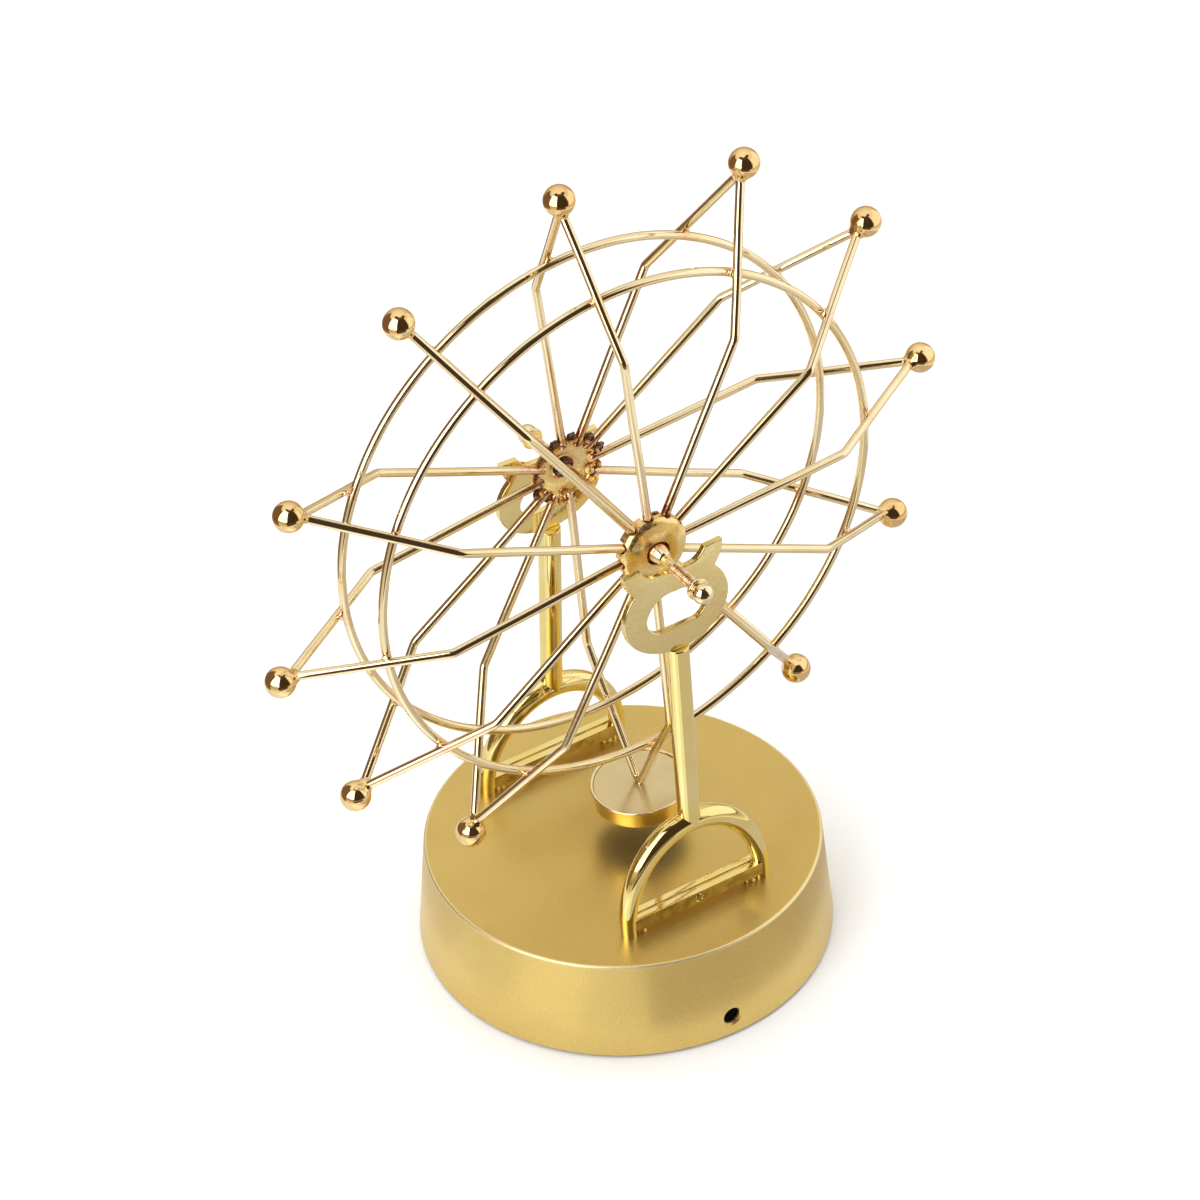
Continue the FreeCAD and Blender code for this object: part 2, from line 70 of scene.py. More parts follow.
# Wheel
wheel_height = 148.0
ball_circle_radius = 103.7
ball_radius = 4.3
wire_radius = 1.25
kink_radius = 62.8
kink_half_spacing = 21.3
spoke_inner_radius = 7.6
tip_apex_radius = 101.0
kink_bend = 4.0
tip_bend = 1.7
spoke_waviness = 0.16
ring_radius = 77.0
ring_waviness = 0.12
# Distance between the middles of a ring's wire and of the spoke wire that it is welded to
ring_touch = 2.42
spoke_count = 12
magnet_spoke = 8
first_spoke_angle = 155.05
# How strongly each spoke is heat marked next to the front and the rear hub
spoke_burn = {
    -1: [0.15, 0.2, 0.75, 0.3, 0.12, 0.1, 0.1, 0.15, 0.15, 0.15, 0.2, 0.2],
    1: [0.35, 0.45, 0.55, 0.45, 0.35, 0.3, 0.3, 0.3, 0.4, 0.45, 0.4, 0.4]}
# How far the burnt solder spreads between each spoke and the next, front and rear
solder_web = {
    -1: [0.0, 0.3, 0.1, 0.15, 0.0, 0.0, 0.0, 0.1, 0.1, 0.0, 0.1, 0.0],
    1: [0.8, 0.8, 0.85, 0.85, 0.2, 0.0, 0.0, 0.3, 0.2, 0.75, 0.3, 0.25]}
spoke_lean = [0.1, 0.9, -1.4, -0.1, -1.2, 0.3, 0.6, -1.5, -3.5, 0.8, 1.6, 2.6]

# Hub and axle
hub_radius = 10.4
hub_face_y = 24.4
hub_rim_y = 19.6
hub_sheet = 0.9
axle_radius = 1.75
collar_radius = 2.95
hub_bore = 3.6
neck_radius = 1.45
thread_start_y = 32.6
thread_radius = 1.75
thread_depth = 0.24
thread_pitch = 0.75
thread_end_past_nut = 0.8
nut_radius = 2.9
nut_flange_radius = 3.2
nut_flange_thickness = 1.1
nut_flange_back = 3.0
nut_reach = {-1: 45.8, 1: 41.2}

# Magnet cup
cup_radius = 14.2
cup_lip_at = 100.1
cup_depth = 6.2
cup_wall = 0.95
cup_floor = 0.9
cup_lip_height = 0.9
cup_lip_overhang = 0.3
face_plate_at = 100.55
face_plate_thickness = 0.8

# Supports
support_y = 37.5
support_lean = 3.4
arch_half_width = 22.2
arch_straight = 3.0
arch_rise = 27.0
arch_leg_radius = 2.4
arch_crown_radius = 3.3
bar_height = 4.1
bar_depth = 5.0
bar_lift = 2.0
peg_x = 18.3
peg_radius = 1.7
post_radius = 3.3
yoke_bottom = 89.4
yoke_thickness = 2.0
yoke_front_face = 1.4
yoke_half_width = 16.6
yoke_half_height = 13.4
yoke_edge = 0.32
# Where the yoke's oval ends in its horn, in degrees above the oval's widest place
horn_turn = 39.9

# Camera, in millimetres and degrees, as found from the photograph
camera_place = (-509.1, -836.6, 890.2)
camera_azimuth = -31.12
camera_elevation = 38.31
camera_roll = -2.63
camera_lens = 136.56

SIDES = {-1: "front", 1: "rear"}
SPOKES = range(1, spoke_count + 1)


# Turns and places

def turned(degrees, axis):
    return Matrix.Rotation(math.radians(degrees), 4, axis)


def at(x, y, z):
    return Matrix.Translation((x, y, z))


def polar(radius, turn):
    return radius * math.cos(turn), radius * math.sin(turn)


# Turns of the Z axis to +X, and outward along the axle on each side
TO_X = turned(90, "Y")
OUTWARD = {-1: turned(90, "X"), 1: turned(-90, "X")}
# Lays a flat outline across the X axis, so that its height runs along it
ALONG_X = Matrix(((0, 0, 1, 0), (1, 0, 0, 0), (0, 1, 0, 0), (0, 0, 0, 1)))
MIRROR_Y = Matrix.Scale(-1, 4, (0, 1, 0))


# Shapes: each is a list of points and a list of faces

def loft(rings, closed=False, flat_ends=()):
    """A skin over rings of points; a ring of one point is a pole, and a flat end gets one face."""
    points = []
    numbered = []
    for ring in rings:
        numbered.append(range(len(points), len(points) + len(ring)))
        points += ring
    faces = []
    for first, second in zip(numbered, numbered[1:] + (numbered[:1] if closed else [])):
        count = max(len(first), len(second))
        for i in range(count if count > 1 else 0):
            j = (i + 1) % count
            corners = [ring[k % len(ring)] for ring, k in ((first, i), (first, j), (second, j), (second, i))]
            faces.append(tuple(dict.fromkeys(corners)))
    return points, faces + [tuple(numbered[end]) for end in flat_ends]


def revolve(profile, segments, closed=False):
    """Turn (radius, height) pairs about the Z axis."""
    rings = []
    for radius, height in profile:
        steps = segments if radius > 1e-6 else 1
        rings.append([Vector((*polar(radius, 2 * math.pi * i / segments), height)) for i in range(steps)])
    return loft(rings, closed)


def corner_arc(before, corner, after, bend, steps=None, turn_step=7):
    """The arc that rounds a corner, from where it leaves one straight run to where it joins the next."""
    back, ahead = (before - corner).normalized(), (after - corner).normalized()
    half = back.angle(ahead) / 2
    centre = corner + (back + ahead).normalized() * (bend / math.sin(half))
    arm = corner + back * (bend / math.tan(half)) - centre
    turn = math.pi - 2 * half
    steps = steps or max(2, round(math.degrees(turn) / turn_step))
    axis = back.cross(ahead).normalized()
    return [centre + Matrix.Rotation(-turn * k / steps, 3, axis) @ arm for k in range(steps + 1)]


def rounded(corners, steps=6, hold=0.06):
    """An outline with an arc at each (x, y, bend) corner; short holding steps keep the flats flat."""
    outline = []
    points = [Vector((*corner[:2], 0)) for corner in corners]
    for index, here in enumerate(points):
        bend = corners[index][2]
        if bend:
            before, after = points[index - 1], points[(index + 1) % len(points)]
            arc = corner_arc(before, here, after, bend, steps)
            outline.append(arc[0] + (before - here).normalized() * hold)
            outline += arc
            outline.append(arc[-1] + (after - here).normalized() * hold)
        else:
            outline.append(here)
    return [point.xy for point in outline]


def arc_through(start, middle, end, steps):
    """Points of the arc from start through middle to end, without the start."""
    a, b, c = (complex(*point) for point in (start, middle, end))
    skew = (c - a) / (b - a)
    centre = a + (b - a) * (skew - abs(skew) ** 2) / (2j * skew.imag)
    passing, total = (cmath.phase((point - centre) / (a - centre)) % (2 * math.pi) for point in (b, c))
    if passing > total:
        total -= 2 * math.pi
    arc = [centre + (a - centre) * cmath.rect(1, total * k / steps) for k in range(1, steps + 1)]
    return [Vector((point.real, point.imag)) for point in arc]


def bent_line(corners, bends, spacing):
    """Points along straight runs joined by arcs of the given radii."""
    line = [corners[0]]

    def run_to(end):
        start = line[-1]
        count = max(1, round((end - start).length / spacing))
        line.extend(start.lerp(end, k / count) for k in range(1, count + 1))

    for before, corner, after, bend in zip(corners, corners[1:], corners[2:], bends):
        arc = corner_arc(before, corner, after, bend)
        run_to(arc[0])
        line += arc[1:]
    run_to(corners[-1])
    return line


def sweep(line, radii, sides, closed=False):
    """A round bar along a line of centres; open ends are closed with a flat face."""
    count = len(line)
    headings = []
    for i in range(count):
        before = line[i - 1] if closed or i > 0 else line[i]
        after = line[(i + 1) % count] if closed or i < count - 1 else line[i]
        headings.append((after - before).normalized())
    across = headings[0].orthogonal().normalized()
    rings = []
    for i in range(count):
        if i > 0:
            across = headings[i - 1].rotation_difference(headings[i]) @ across
        other = headings[i].cross(across)
        ways = [polar(radii[i], 2 * math.pi * k / sides) for k in range(sides)]
        rings.append([line[i] + across * right + other * up for right, up in ways])
    return loft(rings, closed, () if closed else (0, -1))


def prism(outline, low, high):
    """A solid with a flat outline of (x, y) points between two heights."""
    return loft([[Vector((x, y, z)) for x, y in outline] for z in (low, high)], flat_ends=(0, 1))


def blob(size, seed, unevenness=0.22, segments=18):
    """A lump of solder: an oval ball with an uneven skin."""
    half_turn = [math.pi * k / 10 for k in range(11)]
    points, faces = revolve([(math.sin(t), -math.cos(t)) for t in half_turn], segments)
    shift = Vector((seed * 3.7, seed * 1.3, seed * 2.1))
    shaped = []
    for point in points:
        coarse = noise.noise(point * 1.4 + shift)
        fine = noise.noise(point * 3.6 + shift)
        swell = 1 + unevenness * coarse + 0.4 * unevenness * fine
        shaped.append(Vector(a * b for a, b in zip(point, size)) * swell)
    return shaped, faces


def moved(shape, matrix):
    return [matrix @ point for point in shape[0]], shape[1]


def joined(shapes):
    points = []
    faces = []
    for some_points, some_faces in shapes:
        start = len(points)
        points += some_points
        faces += [tuple(start + index for index in face) for face in some_faces]
    return points, faces


# Turning shapes into pieces of the object

def configure(thing, **settings):
    for name, value in settings.items():
        setattr(thing, name, value)
    return thing


def mend(piece, gap=0):
    """Join points that lie within the gap of each other, and turn all faces outward."""
    work = bmesh.new()
    work.from_mesh(piece.data)
    if gap:
        bmesh.ops.remove_doubles(work, verts=work.verts, dist=gap * MM)
    bmesh.ops.recalc_face_normals(work, faces=work.faces)
    work.to_mesh(piece.data)
    work.free()


def add_to_scene(name, data):
    made = bpy.data.objects.new(name, data)
    scene.collection.objects.link(made)
    return made


def make_object(name, shape, crease=38, gap=0):
    mesh = bpy.data.meshes.new(name)
    mesh.from_pydata([point * MM for point in shape[0]], [], shape[1])
    made = add_to_scene(name, mesh)
    mend(made, gap)
    smooth(made, crease)
    return made


def smooth(piece, crease):
    piece.data.shade_smooth()
    piece.data.set_sharp_from_angle(angle=math.radians(crease))


def settle(piece, crease=38):
    """Apply the modifiers of a piece to its mesh."""
    shaped = piece.evaluated_get(bpy.context.evaluated_depsgraph_get())
    old = piece.data
    piece.data = bpy.data.meshes.new_from_object(shaped)
    piece.data.name = piece.name
    piece.modifiers.clear()
    bpy.data.meshes.remove(old)
    smooth(piece, crease)


def carve(piece, cutter_shape):
    cutter = make_object("cutter", cutter_shape)
    change = piece.modifiers.new("carve", "BOOLEAN")
    configure(change, operation="DIFFERENCE", solver="EXACT", object=cutter)
    settle(piece)
    bpy.data.objects.remove(cutter)


def soften_edges(piece, width):
    """Round the sharp edges by a real bevel."""
    change = piece.modifiers.new("soften", "BEVEL")
    configure(change, width=width * MM, segments=2, limit_method="ANGLE", angle_limit=math.radians(40))
    settle(piece, 60)


def hold_flats(piece):
    """Large flats keep their own shading next to small rounded edges."""
    configure(piece.modifiers.new("hold_flats", "WEIGHTED_NORMAL"), keep_sharp=True, weight=80)


def heat_colours(piece, heat_at):
    """Store how strongly the plate is heat marked at each point, from 0 to 1."""
    heat = piece.data.attributes.new("burn_mark", "FLOAT", "POINT")
    values = [max(0.0, min(1.0, heat_at(vertex.co / MM))) for vertex in piece.data.vertices]
    heat.data.foreach_set("value", values)


def dress(piece, body, slot, finish, *stands_for):
    piece.data.materials.append(finish)
    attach(piece, body)
    if stands_for:
        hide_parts(*stands_for)


# Materials

class Look:
    """The nodes of a material or of the world, with short ways to add to them."""

    def __init__(self, owner, shader_type):
        owner.use_nodes = True
        self.owner = owner
        self.tree = owner.node_tree
        self.shader = next(n for n in self.tree.nodes if n.type == shader_type)
        self.coordinates = self.node("ShaderNodeTexCoord", {}).outputs
        self.where = self.coordinates["Object"]

    def feed(self, made, inputs):
        """Set inputs of a node by name or number; each value is plain or a socket to link."""
        for key, value in inputs.items():
            if isinstance(value, bpy.types.NodeSocket):
                self.tree.links.new(value, made.inputs[key])
            else:
                made.inputs[key].default_value = value

    def node(self, kind, inputs, **settings):
        made = configure(self.tree.nodes.new(kind), **settings)
        self.feed(made, inputs)
        return made

    def noise(self, size, detail=2.0, rough=0.5):
        """Soft noise whose blotches are about this many millimetres across."""
        inputs = {"Vector": self.where, "Scale": 1.0 / (size * MM), "Detail": detail, "Roughness": rough}
        return self.node("ShaderNodeTexNoise", inputs).outputs["Fac"]

    def mixed(self, share, first, second, blend="MIX"):
        """Mix two colours; each colour is a tuple or a socket."""
        first, second = (c if isinstance(c, bpy.types.NodeSocket) else (*c, 1) for c in (first, second))
        inputs = {0: share, 6: first, 7: second}
        return self.node("ShaderNodeMix", inputs, data_type="RGBA", blend_type=blend).outputs[2]

    def ramp(self, value, stops):
        """A colour ramp; each stop is (place, colour)."""
        made = self.node("ShaderNodeValToRGB", {"Fac": value})
        elements = made.color_ramp.elements
        while len(elements) < len(stops):
            elements.new(1.0)
        for element, (place, colour) in zip(elements, stops):
            configure(element, position=place, color=(*colour, 1))
        return made.outputs["Color"]

    def scaled(self, value, to_low, to_high, from_low=0.3, from_high=0.7):
        """Map a value from one range to another; soft noise lies between about 0.3 and 0.7."""
        inputs = {
            "Value": value, "From Min": from_low, "From Max": from_high, "To Min": to_low, "To Max": to_high}
        return self.node("ShaderNodeMapRange", inputs).outputs[0]

    def maths(self, operation, first, second=0.0):
        return self.node("ShaderNodeMath", {0: first, 1: second}, operation=operation).outputs[0]

    def times(self, first, second):
        return self.maths("MULTIPLY", first, second)

    def paint(self, colour, roughness):
        self.feed(self.shader, {"Base Color": colour, "Roughness": roughness})

    def bump(self, height, strength, depth):
        """Small relief, at most depth millimetres deep."""
        made = self.node("ShaderNodeBump", {"Height": height, "Strength": strength, "Distance": depth * MM})
        self.feed(self.shader, {"Normal": made.outputs["Normal"]})


def new_look(name, metallic, colour, roughness):
    look = Look(bpy.data.materials.new(name), "BSDF_PRINCIPLED")
    look.feed(look.shader, {"Metallic": metallic})
    look.paint((*colour, 1), roughness)
    return look


def gold_plate(name, light, deep, polish, peel=0.25, heat=False, drift_size=14.0, rubbed=1.0, metal=1.0):
    """Polished gold plate: two golds in slow drifts, a faint orange peel and fine rubbing marks."""
    look = new_look(name, metal, light, polish)
    drift = look.noise(drift_size, 3.0)
    fine = look.noise(0.9, 3.0, 0.6)
    colour = look.mixed(look.scaled(drift, 0, 1, 0.35, 0.68), light, deep)
    dull = look.scaled(fine, polish * (1 - 0.4 * rubbed), polish * (1 + 0.9 * rubbed), 0.35, 0.75)
    if heat:
        mark = look.node("ShaderNodeAttribute", {}, attribute_name="burn_mark").outputs["Fac"]
        mark = look.times(mark, look.scaled(look.noise(1.6, 3.0, 0.65), 0.25, 1.5))
        tints = look.ramp(mark, [
            (0.0, (1, 1, 1)), (0.28, (0.93, 0.78, 0.72)), (0.5, (0.62, 0.36, 0.27)),
            (0.75, (0.24, 0.11, 0.075)), (1.0, (0.05, 0.03, 0.022))])
        colour = look.mixed(1.0, colour, tints, "MULTIPLY")
        dull = look.maths("ADD", dull, look.times(mark, 0.22))
    look.paint(colour, dull)
    wave = look.noise(2.6)
    look.bump(look.maths("ADD", wave, look.times(fine, 0.12)), peel, 0.05)
    return look.owner


def burnt_solder():
    """Solder burnt brown by the torch, with some gold left on its high spots."""
    look = new_look("burnt_solder", 0.9, (0.2, 0.1, 0.06), 0.35)
    patch = look.noise(1.3, 4.0, 0.65)
    colour = look.ramp(patch, [
        (0.36, (0.03, 0.018, 0.014)), (0.5, (0.12, 0.06, 0.042)),
        (0.62, (0.36, 0.2, 0.13)), (0.75, (0.8, 0.6, 0.38))])
    look.paint(colour, look.scaled(patch, 0.45, 0.16))
    look.bump(look.noise(0.5, 3.0), 0.5, 0.12)
    return look.owner


def base_lacquer():
    """Satin gold lacquer: fine metal flake, faint orange peel, slow drifts of tone, and a painted highlight
    along the rim.
    """
    look = new_look("base_lacquer", 0.9, (0.6, 0.44, 0.17), 0.3)
    flake = look.noise(0.5, 3.0, 0.75)
    cloud = look.noise(22.0, 3.0)
    speck = look.noise(1.1, 4.0, 0.7)
    tone = look.mixed(look.scaled(cloud, 0, 1), (0.6, 0.43, 0.12), (0.66, 0.48, 0.145))
    tone = look.mixed(look.scaled(flake, 0.0, 0.6, 0.35, 0.7), tone, (0.8, 0.62, 0.26))
    tone = look.mixed(look.scaled(speck, 0.0, 0.07, 0.5, 0.75), tone, (0.42, 0.29, 0.08))
    axes = look.node("ShaderNodeSeparateXYZ", {"Vector": look.where}).outputs
    squares = [look.maths("POWER", axes[axis], 2.0) for axis in "XY"]
    out = look.maths("SQRT", look.maths("ADD", *squares))
    flat_end = base_top_radius - rim_radius
    rim_low = base_height - rim_radius
    past_flat = look.scaled(out, 0, 1, (flat_end - 0.1) * MM, (flat_end + 0.2) * MM)
    above_wall = look.scaled(axes["Z"], 0, 1, rim_low * MM, (rim_low + 0.3) * MM)
    rim = look.times(past_flat, above_wall)
    # Painted highlight: the band along the rim is mixed towards a pale cream gold.
    tone = look.mixed(look.times(rim, 0.75), tone, (0.98, 0.84, 0.5))
    satin = look.times(look.scaled(flake, 0.29, 0.42), look.scaled(rim, 1, 1.15, 0, 1))
    look.paint(tone, satin)
    look.bump(look.maths("ADD", flake, look.times(speck, 0.6)), 0.1, 0.018)
    return look.owner


def moulded_plastic(name, colour, roughness, grain=0.35, relief=0.3):
    """Moulded plastic with a fine spark grain and slight flow shading."""
    look = new_look(name, 0.0, colour, roughness)
    pits = look.noise(grain, 2.0, 0.6)
    flow = look.scaled(look.noise(12.0, 3.0), 0, 1)
    lighter = tuple(min(1.0, c * 1.35 + 0.01) for c in colour)
    look.paint(look.mixed(flow, colour, lighter), look.scaled(pits, roughness * 0.8, roughness * 1.2))
    look.bump(pits, relief, 0.04)
    return look.owner


def plain_metal(name, colour, roughness, grain=0.5):
    """Plated or drawn metal with fine grain and small stains."""
    look = new_look(name, 1.0, colour, roughness)
    fine = look.noise(grain, 3.0, 0.7)
    stain = look.scaled(look.noise(6.0, 4.0, 0.6), 0, 1, 0.4, 0.75)
    darker = tuple(c * 0.72 for c in colour)
    look.paint(look.mixed(stain, colour, darker), look.scaled(fine, roughness * 0.7, roughness * 1.4))
    look.bump(fine, 0.15, 0.02)
    return look.owner


def wound_copper():
    """Enamelled copper wire, wound in fine level turns."""
    look = new_look("wound_copper", 0.85, (0.62, 0.24, 0.08), 0.25)
    inputs = {"Vector": look.where, "Scale": 560.0, "Distortion": 0.6}
    turns = look.node("ShaderNodeTexWave", inputs, wave_type="BANDS", bands_direction="Z").outputs["Fac"]
    colour = look.mixed(turns, (0.26, 0.085, 0.03), (0.72, 0.3, 0.11))
    colour = look.mixed(look.scaled(look.noise(3.0), 0, 0.5), colour, (0.8, 0.4, 0.18))
    look.feed(look.shader, {"Base Color": colour})
    look.bump(turns, 0.8, 0.15)
    return look.owner


def cell_sleeve():
    """Plain printed sleeve of a battery cell: dark body, a coppery band at the plus end, bare ends."""
    band_start, bare_from = 12.5, 23.9
    look = new_look("cell_sleeve", 0.35, (0.05, 0.06, 0.08), 0.25)
    axes = look.node("ShaderNodeSeparateXYZ", {"Vector": look.where}).outputs
    row = look.maths("FLOOR", look.maths("DIVIDE", axes["Y"], cell_pitch * MM))
    way = look.scaled(look.maths("PINGPONG", row, 1.0), 1, -1, 0, 1)
    band = look.maths("GREATER_THAN", look.times(axes["X"], way), band_start * MM)
    end = look.maths("GREATER_THAN", look.maths("ABSOLUTE", axes["X"]), bare_from * MM)
    wear = look.noise(5.0, 4.0)
    colour = look.mixed(look.scaled(wear, 0, 1, 0.35, 0.7), (0.035, 0.045, 0.065), (0.075, 0.085, 0.11))
    colour = look.mixed(band, colour, (0.62, 0.4, 0.12))
    colour = look.mixed(end, colour, (0.62, 0.62, 0.6))
    metal = look.maths("MAXIMUM", end, look.scaled(band, 0.3, 0.75, 0, 1))
    look.feed(look.shader, {"Metallic": metal})
    look.paint(colour, look.scaled(wear, 0.18, 0.34))
    return look.owner


def solder_mask():
    """Green board with fine tracks under the mask."""
    look = new_look("solder_mask", 0.0, (0.03, 0.16, 0.06), 0.3)
    cells = look.node("ShaderNodeTexBrick", {
        "Vector": look.where, "Scale": 330.0, "Mortar Size": 0.09, "Color1": (0.02, 0.12, 0.045, 1),
        "Color2": (0.03, 0.17, 0.06, 1), "Mortar": (0.07, 0.3, 0.12, 1)}).outputs
    weave = look.noise(0.8)
    colour = look.mixed(look.scaled(weave, 0, 0.4), cells["Color"], (0.05, 0.22, 0.09))
    look.paint(colour, look.scaled(weave, 0.22, 0.4))
    look.bump(cells["Fac"], 0.3, 0.03)
    return look.owner


wire_gold = gold_plate("wire_gold", (0.92, 0.79, 0.54), (0.89, 0.73, 0.43), 0.08, 0.06, heat=True)
ball_gold = gold_plate("ball_gold", (0.92, 0.69, 0.35), (0.86, 0.58, 0.26), 0.06, 0.1)
nut_gold = gold_plate("nut_gold", (0.94, 0.8, 0.52), (0.9, 0.72, 0.42), 0.06, 0.06)
hub_gold = gold_plate("hub_gold", (0.97, 0.78, 0.38), (0.95, 0.7, 0.24), 0.24, 0.15, heat=True)
axle_gold = gold_plate("axle_gold", (0.93, 0.79, 0.5), (0.86, 0.68, 0.38), 0.12, 0.25, heat=True)
support_gold = gold_plate("support_gold", (0.93, 0.78, 0.36), (0.89, 0.7, 0.24), 0.06, 0.06)
# A darker, duller copy of the support gold for the front yoke: painted shade on one of two like plates.
front_yoke_shaded_gold = gold_plate("front_yoke_shaded_gold", (0.84, 0.69, 0.34), (0.79, 0.63, 0.27), 0.16, 0.05)
# Darker, mottled gold for the bar's outer and inner faces: the mottle is the cast surface, the darker tone is
# painted shade.
bar_mottle_and_shade = gold_plate("bar_mottle_and_shade", (0.78, 0.62, 0.27), (0.46, 0.33, 0.1), 0.17, 0.14, drift_size=3.5)
cup_gold = gold_plate("cup_gold", (0.98, 0.8, 0.34), (0.96, 0.74, 0.26), 0.15, 0.02, rubbed=0.3)
# Near-black gold for the cup's closed end: painted shade for the underside, where little light reaches.
cup_end_painted_shade = gold_plate("cup_end_painted_shade", (0.07, 0.05, 0.02), (0.045, 0.032, 0.014), 0.45, 0.1)
plate_steel = gold_plate(
    "plate_steel", (0.7, 0.57, 0.31), (0.64, 0.52, 0.28), 0.18, 0.02, rubbed=0.3, metal=0.6)
zinc_plate = plain_metal("zinc_plate", (0.6, 0.61, 0.62), 0.3)
solder = burnt_solder()
lacquer = base_lacquer()


# Base

def base_wall_radius(z):
    return base_bottom_radius - (base_bottom_radius - base_top_radius) / base_height * z


def make_base_shell():
    inner_top = base_height - top_thickness
    foot_radius = base_wall_radius(foot_height)
    outside = rounded([(0, foot_height, 0), (foot_radius, foot_height, 0.35),
                       (base_top_radius, base_height, rim_radius), (0, base_height, 0)], steps=10)[1:-1]
    inner_radius = base_wall_radius(inner_top) - wall
    profile = [(0, inner_top), (inner_radius, inner_top), (foot_radius - wall, foot_height)]
    shell = make_object("base_drum", revolve(profile + outside + [(0, base_height)], 256), 50)
    wide = jack_hole_radius + jack_hole_bevel
    bore = revolve([(0, -4), (jack_hole_radius, -4), (jack_hole_radius, 0.5),
                    (wide, jack_hole_bevel + 0.5), (wide, 4), (0, 4)], 48)
    wall_y = -math.sqrt(base_wall_radius(jack_z) ** 2 - jack_x ** 2)
    carve(shell, moved(bore, at(jack_x, wall_y + 0.85, jack_z) @ OUTWARD[-1]))
    hold_flats(shell)
    dress(shell, "base", "base_lacquer", lacquer, "base_shell")


# Supports, drawn upright around the Z axis and then leant inward

def stand(side):
    return at(0, side * support_y, base_height) @ turned(side * support_lean, "X")


def make_arch(side):
    """A bent bar, thicker towards its crown, whose legs reach a little into the base."""
    stations = 84
    half_turn = [math.pi * k / stations for k in range(stations + 1)]
    leg = [-0.6 + 0.6 * k for k in range(6)]
    line = [Vector((arch_half_width, 0, z)) for z in leg]
    for t in half_turn:
        line.append(Vector((arch_half_width * math.cos(t), 0, arch_straight + arch_rise * math.sin(t))))
    line += [Vector((-arch_half_width, 0, z)) for z in reversed(leg)]
    swell = arch_crown_radius - arch_leg_radius
    ends = [arch_leg_radius] * len(leg)
    radii = ends + [arch_leg_radius + swell * math.sin(t) for t in half_turn] + ends
    arch = make_object("arch_" + SIDES[side], moved(sweep(line, radii, 40), stand(side)))
    dress(arch, "base", "gold_plate_support", support_gold, "foot_arch_" + SIDES[side])


def bar_y(side):
    return side * (support_y - math.tan(math.radians(support_lean)) * (bar_lift + bar_height / 2))


def make_cross_bar(side):
    """A bar with a groove along its top, an ejector mark on its outer face and a peg near each end."""
    half, groove, groove_depth = bar_depth / 2, 0.4, 0.5
    low = base_height + bar_lift
    top = low + bar_height
    bottom = top - groove_depth
    outline = [(-half, low), (half, low), (half, top), (groove, top), (groove, bottom),
               (-groove, bottom), (-groove, top), (-half, top)]
    reach = arch_half_width - 0.9
    shape = moved(prism(outline, -reach, reach), at(0, bar_y(side), 0) @ ALONG_X)
    bar = make_object("bar_" + SIDES[side], shape)
    mark = revolve([(0, -0.05), (1.0, -0.05), (1.1, -0.25), (1.32, -0.25), (1.42, 0.4), (0, 0.4)], 40)
    mark_place = at(0, bar_y(side) + side * half, low + bar_height / 2)
    carve(bar, moved(mark, mark_place @ OUTWARD[side]))
    soften_edges(bar, 0.22)
    hold_flats(bar)
    dress(bar, "base", "gold_plate_support", bar_mottle_and_shade, "cross_bar_" + SIDES[side])
    # The outer and inner faces get the darker bar gold, painted shade; the top, ends and groove keep the
    # support gold.
    bar.data.materials.append(support_gold)
    for face in bar.data.polygons:
        face.material_index = 0 if abs(face.normal.y) > 0.7 else 1
    collar, end = peg_radius + 0.35, bar_lift + 0.3
    peg = revolve(rounded([(0, 0, 0), (collar, 0, 0.2), (collar, 0.5, 0.2), (peg_radius, 0.7, 0.1),
                           (peg_radius, end, 0), (0, end, 0)], steps=4), 36)
    pegs = joined([moved(peg, at(x, bar_y(side), base_height)) for x in (-peg_x, peg_x)])
    dress(make_object("bar_pegs_" + SIDES[side], pegs), "base", "gold_plate_support", support_gold)


def make_post(side):
    crown = arch_straight + arch_rise
    profile = rounded([(0, crown, 0), (post_radius, crown, 0), (post_radius, yoke_bottom + 0.15, 0.4),
                       (0, yoke_bottom + 0.25, 0)])
    post = make_object("column_" + SIDES[side], moved(revolve(profile, 64), stand(side)))
    hold_flats(post)
    dress(post, "base", "gold_plate_support", support_gold, "post_" + SIDES[side])


def mirrored(points):
    """The same points on the other side of the Y axis, in the order that goes on around the outline."""
    return [Vector((-point.x, point.y)) for point in reversed(points)]


def yoke_outlines():
    """A bull head, with a small seat for the axle in its notch, and its D-shaped hole."""
    sweep_up = math.pi / 2 + math.radians(horn_turn)
    right = []
    for k in range(49):
        across, up = polar(1, -math.pi / 2 + sweep_up * k / 48)
        right.append(Vector((yoke_half_width * across, yoke_half_height * (1 + up))))
    right += arc_through(right[-1], (14.8, 25.2), (15.7, 29.4), 12)
    right.append(Vector((10.0, 29.1)))
    right += arc_through(right[-1], (8.0, 26.6), (4.6, 25.6), 12)
    right.append(Vector((1.2, 25.6)))
    right += arc_through(right[-1], (0.85, 25.36), (0, 25.12), 6)
    hole = [Vector((5.6, 7.5))]
    hole += arc_through(hole[-1], (8.5, 9.4), (9.4, 13.0), 12)
    hole += arc_through(hole[-1], (6.6, 17.2), (0, 18.9), 16)
    return right + mirrored(right[1:-1]), hole + mirrored(hole[:-1])


